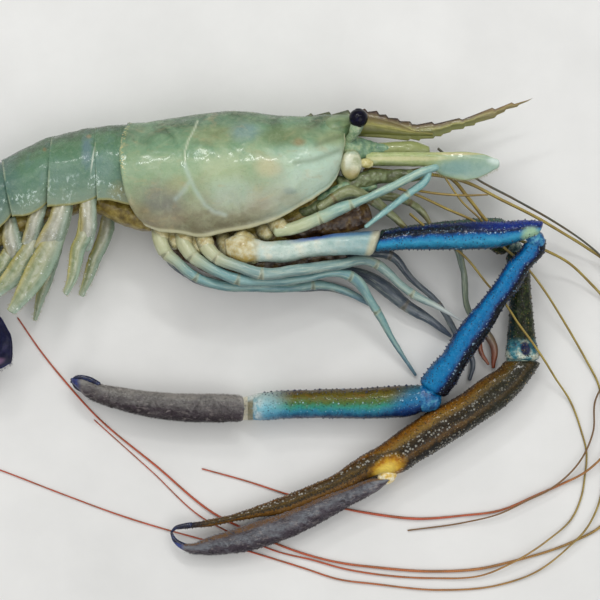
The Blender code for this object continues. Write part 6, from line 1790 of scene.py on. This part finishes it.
def claw_studs(name, grid, surface, seed, count, size, lines, keep=1.0, within=None):
    """Tubercles scattered over a claw piece and larger spines in lines: angle, gap, width and height."""
    places, outs, _, draw = scatter(grid, count, seed, keep)
    wide = draw.uniform(0.6, 1.25, count) * size
    parts = [(places, outs, wide, wide * draw.uniform(0.8, 1.5, count))]
    for turn, (angle, gap, big, tall) in enumerate(lines):
        places, outs, draw = row_of_points(grid, angle, gap, seed + 7 * turn + 1)
        grow = draw.uniform(0.7, 1.2, len(places))
        parts.append((places, outs, grow * big, grow * tall))
    parts = [np.concatenate(part) for part in zip(*parts)]
    if within is not None:
        chosen = within(parts[0])
        parts = [part[chosen] for part in parts]
    settle(studs(name, *parts), surface)


def finger_fur(name, grid, across, surface, seed, count, keep, length, lean):
    """Felt on a finger: short hairs that lean one way, lighter on folds and towards the finger's back."""
    places, outs, column, draw = scatter(grid, count, seed, keep)
    folds = lumps(places * np.array((0.5, 1.0, 1.0)), 1.6, seed)
    tone = np.clip(0.32 + 0.5 * across[column] + 0.5 * folds, 0.0, 1.0)
    ways = outs + np.array(lean) + draw.normal(0.0, 0.35, places.shape)
    lengths = draw.uniform(0.5, 1.2, count) * length
    bend = np.array(lean) + draw.normal(0.0, 0.3, places.shape)
    settle(hairs(name, places, ways, lengths, FUR_WIDTH, bend, tone), surface)


def dress_limb(
    name, rows, surface, seed, joints=(), sides=40, gap=0.3, lump=0.1, ends=(0.7, 1.2), own=True,
):
    """A round limb with a ring at each joint, given as row numbers of its table; `own` if it has a node."""
    grid, across = limb_grid(rows, gap, sides)
    reach, centre = row_reach(grid), grid.mean(axis=1)
    mark, crease = np.zeros(grid.shape[:2]), np.zeros(grid.shape[:2])
    for index in joints:
        spot = np.argmin(np.linalg.norm(centre - np.array(rows[index][:3]), axis=1))
        away = (np.abs(reach - reach[spot])[:, None] + 0.25 * across[None, :]) ** 2
        mark = np.maximum(mark, np.exp(-away / 1.1))
        crease = np.maximum(crease, np.exp(-away / 0.12))
    amount = lumpy(grid, seed, (4.0, lump), (1.3, lump * 0.5)) + 0.16 * mark - 0.26 * crease
    grid, tips = rounded(pushed(grid, amount), *ends)
    marks = {
        "joint": padded(mark, len(grid)),
        "crease": padded(crease, len(grid)),
        "along": shares(grid),
        "reach": row_reach(grid)[:, None],
        "round": across[None, :],
    }
    settle(grid_piece(name + "_skin", grid, tips, marks), surface, name if own else None)


def dress_plate(name, rows, surface, seed, end):
    """A thin blade with a raised middle rib and a fine ripple."""
    grid, across, _ = strip_grid(rows, PLATE_GAP, PLATE_SIDES)
    rib = np.exp(-(((across - 0.55) / 0.16) ** 2))[None, :]
    amount = lumpy(grid, seed, (3.5, 0.12), (1.1, 0.06)) + 0.14 * rib
    grid, tips = rounded(pushed(grid, amount), 0.5, end)
    marks = {"round": across[None, :], "along": shares(grid)}
    settle(grid_piece(name + "_skin", grid, tips, marks), surface, name)
    return grid


def edge_fringe(name, grid, surface, seed, edges, gap, length, start):
    """Fine hairs along a blade's edges, each 1 for the first side or -1 for the second, from a share on."""
    draw = np.random.default_rng(seed)
    reach, sides = row_reach(grid), grid.shape[1]
    heading = unit(np.gradient(grid.mean(axis=1), axis=0))
    places, ways = [], []
    for edge in edges:
        count = int(reach[-1] * (1.0 - start) / gap)
        where = draw.uniform(reach[-1] * start, reach[-1], count)
        rows = np.clip(np.searchsorted(reach, where), 0, len(grid) - 1)
        place = grid[rows, sides - 1 if edge > 0 else sides // 2]
        out = place - grid[rows].mean(axis=1)
        out[:, 2] = 0.0
        out = out / np.maximum(np.linalg.norm(out, axis=1), 1e-6)[:, None]
        places.append(place)
        ways.append(out + heading[rows] * 0.5 + draw.normal(0.0, 0.16, place.shape))
    places, ways = np.vstack(places), np.vstack(ways)
    lengths = draw.uniform(0.5, 1.15, len(places)) * length
    bend = draw.normal(0.0, 0.25, places.shape)
    settle(hairs(name, places, ways, lengths, FRINGE_WIDTH, bend), surface)


def dress_plume(name, rows, surface, seed, taper, ribs, sides=64, own=True):
    """A swollen wet blade with ribs along it, narrowing to a rounded end; `own` if it has a node."""
    grid, across, up = strip_grid(rows, PLUME_GAP, sides, 2.0)
    reach = row_reach(grid)[:, None]
    share = reach / reach[-1, 0]
    centre = grid.mean(axis=1, keepdims=True)
    narrow = 1.0 - (1.0 - taper) * smooth_step(share, 0.55, 1.0)
    grid = centre + (grid - centre) * narrow[..., None]
    wave = np.cos((across[None, :] + 0.1 * np.sin(9.0 * share)) * ribs * np.pi)
    face = smooth_step(np.abs(up), 0.1, 0.5)[None, :]
    amount = lumpy(grid, seed, (4.0, 0.25), (1.4, 0.12), (0.7, 0.05)) + 0.09 * wave * face
    grid, tips = rounded(pushed(grid, amount), 0.6, 1.6)
    marks = {
        "round": across[None, :],
        "along": shares(grid),
        "ribs": padded(np.clip(wave, 0.0, 1.0), len(grid)),
        "gaps": padded(np.clip(-wave, 0.0, 1.0), len(grid)),
    }
    settle(
        grid_piece(name + "_skin", grid, tips, marks), surface, name if own else None,
    )
    return grid


def dress_knuckle(name, start, end, radius, surface, seed):
    """A lumpy round bead bridging two claw pieces, between two points of the picture's grid."""
    start, end = np.array(px(*start[:2]) + start[2:]), np.array(px(*end[:2]) + end[2:])
    rows = []
    for share, size in ((0.0, 0.75), (0.25, 0.96), (0.5, 1.0), (0.75, 0.96), (1.0, 0.75)):
        rows.append(tuple(start + (end - start) * share) + (radius * size, radius * size))
    dress_limb(name, rows, surface, seed, (), 48, 0.3, 0.2, (0.6, 0.6), False)


def dress_body():
    dress_carapace(carapace_paint())
    dress_rostrum(rostrum_paint())
    dress_tail(tail_paint())
    olive = ((0.3, (72, 58, 14)), (0.46, (116, 98, 34)), (0.6, (146, 130, 62)), (0.74, (182, 168, 112)))
    dress_flesh(flesh_paint("flesh_surface", olive))
    navy = ((0.3, (4, 4, 28)), (0.55, (10, 12, 44)), (0.75, (34, 30, 66)))
    # The pinkish spot near the fan's lower end is a painted highlight.
    glow = ((-3, 362, 7, 3, 20, 0.7, (120, 92, 120)),)
    fan = plate_paint("fan_surface", navy, (30, 32, 78), (18, 24, 56), None, glow, 0.2, 0.1, 0.0)
    fringe = hair_paint("fan_hair", (40, 38, 60), (92, 84, 92))
    for turn, (name, rows) in enumerate(FAN.items()):
        grid = dress_plate(name, rows, fan, 300 + turn, 2.0)
        if turn in (0, 1):
            edge_fringe(name + "_hair", grid, fringe, 320 + turn, (-1,), 0.1, 1.2, 0.4)


def dress_eyes():
    eye = eye_paint()
    sage = shades((104, 134, 100), (140, 164, 128), (176, 186, 148))
    stem = leg_paint("eye_stem_surface", sage, (150, 140, 96), (120, 110, 84))
    for turn, (name, rows) in enumerate(EYES.items()):
        stem_rows = rows[:3] + ((43.9, 17.6, rows[2][2], 2.1),)
        dress_limb(name, stem_rows, stem, 400 + turn, (), 48, 0.25, 0.05, (0.7, 0.4))
        x, y, z = rows[4][:3]
        turns = (-0.93, -0.75, -0.45, 0.0, 0.45, 0.75, 0.93)
        ball = [(x, y + EYE_RADIUS * t, z, EYE_RADIUS * math.sqrt(1.0 - t * t)) for t in turns]
        dress_limb(
            name + "_ball", ball, eye, 406 + turn, (), 72, 0.15, 0.01, (0.3, 0.3), False,
        )


def dress_antennae():
    pearl = shades((160, 168, 134), (196, 198, 170), (214, 212, 188))
    root = plate_paint("antenna_root_surface", pearl, (138, 140, 92), (150, 156, 122), None, ROOT_SPOTS)
    for turn, (name, rows) in enumerate(ANTENNA_ROOTS.items()):
        high = rows[2][4]
        rows = []
        for step in (-0.95, -0.8, -0.5, -0.2, 0.1, 0.4, 0.7, 0.93):
            full = math.sqrt(1.0 - step * step)
            x = 41.9 + 3.5 * step
            rows.append((x, 4.8 + 4.7 * full, x, 4.8 - 4.9 * full, high, 0.6 + 2.0 * full))
        layers = ((3.0, 0.25), (1.2, 0.1))
        dress_strip(
            name + "_skin", rows, root, 410 + turn, layers, (0.2, 0.2), name, shaded=True,
        )
    cream = knuckle_paint("antenna_joint", shades((150, 136, 74), (192, 184, 122), (220, 216, 176)))
    dress_knuckle("antenna_joint_right", (361, 163, 20.8), (371, 164, 19.8), 1.5, cream, 424)
    leaf = shades((140, 156, 98), (162, 174, 116), (182, 190, 144))
    scale = plate_paint(
        "scale_surface", leaf, (170, 176, 128), (118, 138, 94), (138, 168, 158), SCALE_SPOTS,
    )
    fringe = hair_paint("scale_hair", (150, 150, 118), (196, 192, 160))
    for turn, (name, rows) in enumerate(SCALES.items()):
        grid = dress_plate(name, rows, scale, 420 + turn, 2.4)
        edge_fringe(name + "_hair", grid, fringe, 425 + turn, (-1,), 0.12, 0.9, 0.5)
    straw = shades((120, 128, 74), (140, 148, 92), (170, 176, 128))
    stalk = leg_paint("antennule_surface", straw, (190, 182, 120), (150, 150, 96))
    stalk_rows = [row[:3] + (row[3] - 2.0,) + row[4:] for row in ANTENNULE_STALK]
    grid = strip_grid(stalk_rows, 0.35, 70)[0]
    joint = near_points(grid, [(51.5, 10.0), (60.0, 10.4)], 0.8)
    amount = lumpy(grid, 430, (3.0, 0.15), (1.0, 0.06)) - 0.2 * joint
    grid, tips = rounded(pushed(grid, amount), 0.5, 0.5)
    settle(grid_piece("antennule_stalk_skin", grid, tips), stalk, "antennule_stalk")


def dress_face():
    """Soft parts between the shell and the antennae, and the dark flesh between the legs."""
    drab = shades((56, 60, 30), (96, 106, 66), (138, 152, 112))
    flesh = flesh_paint("head_flesh_surface", drab)
    layers = ((2.4, 0.35), (0.9, 0.15))
    dress_strip("head_flesh_skin", HEAD_FLESH, flesh, 416, layers, (0.6, 0.6), "head_flesh")
    orbit = flesh_paint("orbit_surface", shades((64, 100, 84), (112, 144, 112), (168, 182, 140)))
    layers = ((3.0, 0.3), (1.0, 0.14), (0.5, 0.05))
    for number, (rows, look) in enumerate(FACE_STRIPS, start=1):
        surface = (orbit, flesh)[look]
        dress_strip(f"face_part_{number}", edge_rows(rows), surface, 417 + number, layers)
    brown = ((0.32, (38, 22, 8)), (0.5, (70, 46, 18)), (0.66, (112, 88, 42)), (0.8, (150, 132, 82)))
    dark = flesh_paint("under_flesh_surface", brown)
    layers = ((3.0, 0.4), (1.2, 0.2), (0.5, 0.06))
    for number, rows in enumerate(LEG_FLESH, start=1):
        dress_strip(f"leg_flesh_{number}", edge_rows(rows), dark, 431 + number, layers)


def dress_feelers():
    amber = feeler_paint("feeler_amber_surface", (168, 150, 74), (196, 84, 56))
    dark = feeler_paint("feeler_dark_surface", (70, 76, 66), (128, 92, 52))
    pale = feeler_paint("feeler_pale_surface", (176, 156, 84), (150, 130, 64))
    for turn, (name, rows) in enumerate(FEELERS.items()):
        look = dark if "dark" in name else pale if "inner" in name else amber
        slim = [row[:3] + (row[3] * 0.76,) for row in rows]
        dress_limb(name, slim, look, 440 + turn, (), 10, 0.5, 0.02)


def dress_head():
    dress_eyes()
    dress_antennae()
    dress_face()
    dress_feelers()
    moss = shades((92, 96, 56), (124, 130, 88), (156, 164, 126))
    mouth = leg_paint("mouth_leg_surface", moss, (120, 92, 44), (120, 98, 44), 0.2)
    for turn, (name, rows) in enumerate(MOUTH_LEGS.items()):
        dress_limb(name, rows, mouth, 460 + turn, (1, 3), 44, 0.3, 0.2)


def between(grid, start, full, fading, end):
    """A chance for each point along X: none to `start`, all from `full` to `fading`, none from `end`."""
    x = grid[..., 0]
    return smooth_step(x, px_x(start), px_x(full)) * smooth_step(-x, -px_x(end), -px_x(fading))


def dress_right_claw():
    blue_spine = stud_paint("blue_spine", (2, 10, 34), (4, 44, 96))
    sky_spine = stud_paint("sky_spine", (90, 150, 190), (170, 205, 214))
    for kind, seed in (("arm", 600), ("wrist", 620), ("palm", 640)):
        name = f"claw_{kind}_right"
        grid, across = dress_claw(name, claw_right_paint(kind), seed)
        keep, within, lines = 1.0, None, BLUE_LINES
        if kind == "palm":
            keep = smooth_step(grid[..., 0], px_x(258), px_x(262))
            within = lambda places: places[:, 0] > px_x(262)
            lines = BLUE_PALM_LINES
        claw_studs(name + "_studs", grid, blue_spine, seed + 3, 420, 0.2, lines, keep, within)
        lines = ((66 if kind == "arm" else 114, 1.9, 0.15, 0.16),)
        claw_studs(name + "_pale_studs", grid, sky_spine, seed + 9, 60, 0.16, lines, keep)
    fur = hair_paint("finger_fur", (34, 26, 30), (70, 62, 62), (150, 144, 138))
    skin = finger_paint("finger_right_surface", FINGER_RIGHT_STOPS, 72, 252)
    back = (-0.5, 0.0, 0.0)
    grid, across = dress_claw("claw_finger_right", skin, 660)
    keep = between(grid, 84, 96, 238, 244)
    finger_fur("claw_finger_right_fur", grid, across, fur, 670, 9000, keep, 0.55, back)
    grid, across = claw_grid("claw_palm_right", 640)
    keep = between(grid, 84, 96, 234, 240)
    finger_fur("claw_palm_right_fur", grid, across, fur, 672, 8000, keep, 0.5, back)


def dress_left_claw():
    black_spine = stud_paint("black_spine", (20, 18, 12), (52, 40, 22))
    gold_spine = stud_paint("gold_spine", (120, 92, 40), (176, 148, 88))
    thumb = np.array(px(386, 470))
    within = lambda places: np.linalg.norm(places[:, :2] - thumb, axis=1) > 5.6
    for kind, seed in (("arm", 700), ("wrist", 720), ("palm", 740)):
        name = f"claw_{kind}_left"
        grid, across = dress_claw(name, claw_left_paint(kind), seed)
        keep, count = 1.0, 300
        if kind == "palm":
            away = np.linalg.norm(grid[..., :2] - thumb, axis=-1)
            keep = smooth_step(grid[..., 0], px_x(300), px_x(345)) * smooth_step(away, 4.0, 6.5)
            count = 900
        studs_name, seeds = name + "_studs", (seed + 3, seed + 9)
        claw_studs(
            studs_name, grid, black_spine, seeds[0], count, 0.22, BROWN_LINES, keep, within,
        )
        lines = ((30, 2.2, 0.2, 0.2),)
        claw_studs(
            name + "_pale_studs", grid, gold_spine, seeds[1], count // 3, 0.16, lines, keep,
        )
    fur = hair_paint("finger_fur_left", (40, 32, 42), (82, 74, 84), (140, 140, 146))
    skin = finger_paint("finger_left_surface", FINGER_LEFT_STOPS, 176, 400, (112, 76, 28))
    grid, across = dress_claw("claw_finger_left", skin, 760)
    keep = between(grid, 182, 192, 362, 372)
    finger_fur("claw_finger_left_fur", grid, across, fur, 770, 10000, keep, 0.5, (-0.5, -0.2, 0.0))


def dress_claw_joints():
    """Beads at the claws' hinges and the hooked finger tips."""
    azure = knuckle_paint("knuckle_blue", ((0.3, (0, 34, 78)), (0.5, (0, 92, 146)), (0.72, (84, 164, 184))))
    dress_knuckle("knuckle_elbow_right", (529, 235, 19.8), (540, 243, 19.0), 2.7, azure, 780)
    dress_knuckle("knuckle_hand_right", (416, 396, 7.2), (436, 401, 7.2), 4.3, azure, 782)
    dusk = knuckle_paint(
        "knuckle_dark", ((0.3, (20, 28, 14)), (0.5, (52, 84, 84)), (0.72, (150, 164, 146))),
    )
    dress_knuckle("knuckle_elbow_left", (510, 243, 6.4), (519, 252, 6.2), 2.8, dusk, 784)
    dress_knuckle("knuckle_hand_left", (511, 360, 5.4), (533, 361, 5.4), 3.0, dusk, 786)
    brass = ((0.28, (176, 128, 28)), (0.44, (214, 184, 96)), (0.6, (232, 226, 198)))
    gold = knuckle_paint("knuckle_gold", brass)
    dress_knuckle("knuckle_thumb_left", (393, 473, 5.4), (382, 480, 5.4), 2.7, gold, 788)
    navy = knuckle_paint("tip_navy", ((0.3, (3, 5, 26)), (0.5, (7, 14, 50)), (0.72, (30, 52, 100))))
    for turn, rows in enumerate(CLAW_TIPS):
        rows = [px(*row[:2]) + row[2:] for row in rows]
        name, seed = f"claw_tip_{turn + 1}", 790 + turn
        dress_limb(name, rows, navy, seed, (), 28, 0.25, 0.04, own=False)


def dress_big_claws():
    base = base_paint()
    for side, seed in (("right", 500), ("left", 520)):
        dress_claw("claw_base_" + side, base, seed)
    dress_right_claw()
    dress_left_claw()
    dress_claw_joints()


def dress_hips():
    """Short swollen hips between the shell's edge and the legs."""
    sand = ((0.3, (150, 132, 76)), (0.46, (176, 164, 114)), (0.64, (196, 190, 152)))
    hip = leg_paint("hip_surface", sand, (170, 150, 90), (176, 172, 130), 0.3)
    for turn, (start, end, radius) in enumerate(HIPS):
        dress_knuckle(f"hip_{turn + 1}", start, end, radius, hip, 880 + 3 * turn)


def dress_legs():
    dress_hips()
    look = {name: leg_paint(f"{name}_surface", *values) for name, values in LEG_LOOKS.items()}
    for turn, (name, rows) in enumerate(LEGS.items()):
        drop, tops = LEG_TOPS.get(name, (0, ()))
        right = name.endswith("right")
        colour = "leg_white" if name == "leg_3_right" else "leg_blue" if right else "leg_grey"
        dress_limb(
            name, tops + rows[drop:], look[colour], 800 + turn, JOINTS[name], 44, 0.3, 0.12,
        )
    dress_limb("first_leg_right", FIRST_LEG_RIGHT, look["leg_pale"], 820, (2, 4), 44, 0.3, 0.12)
    dress_limb(
        "first_hand_right", FIRST_HAND_RIGHT, look["first_hand"], 822,
        (2,), 40, 0.3, 0.1, own=False,
    )
    dress_limb(
        "first_leg_left", FIRST_LEG_LEFT, look["leg_rust"], 824, (3, 6, 9), 44, 0.3, 0.12,
    )
    dress_limb(
        "first_pincer_left", FIRST_PINCER_LEFT, look["pincer_rust"], 826,
        (), 36, 0.3, 0.08, own=False,
    )


def dress_swimmerets():
    yellow = ((0.32, (104, 122, 86)), (0.5, (140, 148, 110)), (0.68, (176, 178, 146)))
    plume = plume_paint("swimmeret_surface", yellow, (164, 152, 72))
    lilac = ((0.32, (136, 134, 112)), (0.5, (166, 166, 150)), (0.68, (190, 190, 182)))
    violet = plume_paint("swimmeret_base_surface", lilac, (168, 152, 64))
    for turn, rows in enumerate(SWIMMERET_BASES):
        name = f"swimmeret_base_{turn + 1}"
        dress_plume(name, edge_rows(rows), violet, 900 + turn, 1.0, 2.6, own=False)
    fringe = hair_paint("swimmeret_hair", (146, 136, 84), (192, 182, 132))
    for turn, (name, rows) in enumerate(SWIMMERETS.items()):
        rows = [row[:5] + (row[5] * 1.35,) for row in rows]
        first = rows[0]
        rows = [
            (first[0] + 0.4, first[1] + 4.0, first[2] + 0.4, first[3] + 4.0, first[4] - 0.8, first[5]),
        ] + rows
        grid = dress_plume(name, rows, plume, 840 + turn, 0.62, 1.7, 56)
        edge_fringe(name + "_hair", grid, fringe, 860 + turn, (1, -1), 0.3, 0.8, 0.6)


def build_stage():
    bpy.ops.mesh.primitive_grid_add(x_subdivisions=8, y_subdivisions=8, size=FLOOR_SIZE)
    floor = bpy.context.object
    floor.name = "floor"
    floor.data.materials.append(floor_paint())


def add_light(name, place, aim, size, power, colour=(1.0, 1.0, 1.0)):
    light = bpy.data.lights.new(name, "AREA")
    light.shape = "RECTANGLE"
    light.size, light.size_y = size
    light.energy = power
    light.color = colour
    lamp = bpy.data.objects.new(name, light)
    bpy.context.scene.collection.objects.link(lamp)
    lamp.location = place
    lamp.rotation_euler = (Vector(aim) - Vector(place)).to_track_quat("-Z", "Y").to_euler()


def build_light():
    world = bpy.data.worlds.new("pale_room")
    bpy.context.scene.world = world
    world.use_nodes = True
    back = world.node_tree.nodes["Background"]
    back.inputs[0].default_value = (1.0, 1.0, 1.0, 1.0)
    back.inputs[1].default_value = WORLD_LIGHT
    add_light("soft_sky", (-0.35, 0.6, 1.2), (0.03, -0.03, 0.0), (1.5, 1.1), 6.6, (1.0, 0.99, 0.97))
    add_light("soft_fill", (0.55, -0.5, 1.2), (0.03, -0.03, 0.0), (1.2, 1.0), 5.0)
    add_light("window_left", (-0.16, 0.50, 0.5), (0.03, -0.02, 0.0), (0.16, 0.045), 0.5)
    add_light("window_middle", (0.08, 0.40, 0.62), (0.03, -0.02, 0.0), (0.12, 0.04), 0.45)
    add_light("window_right", (0.30, 0.30, 0.60), (0.03, -0.02, 0.0), (0.08, 0.04), 0.3)


def build_camera():
    data = bpy.data.cameras.new("photo_camera")
    data.sensor_width = 36.0
    data.lens = CAMERA_LENS
    data.clip_start, data.clip_end = 0.1, 20.0
    camera = bpy.data.objects.new("photo_camera", data)
    bpy.context.scene.collection.objects.link(camera)
    middle = px(300, 300)
    camera.location = (middle[0] * MM, middle[1] * MM, CAMERA_HEIGHT)
    bpy.context.scene.camera = camera


dress_body()
dress_head()
dress_big_claws()
dress_legs()
dress_swimmerets()
build_stage()
build_light()
build_camera()
bpy.context.scene.view_settings.view_transform = "Standard"
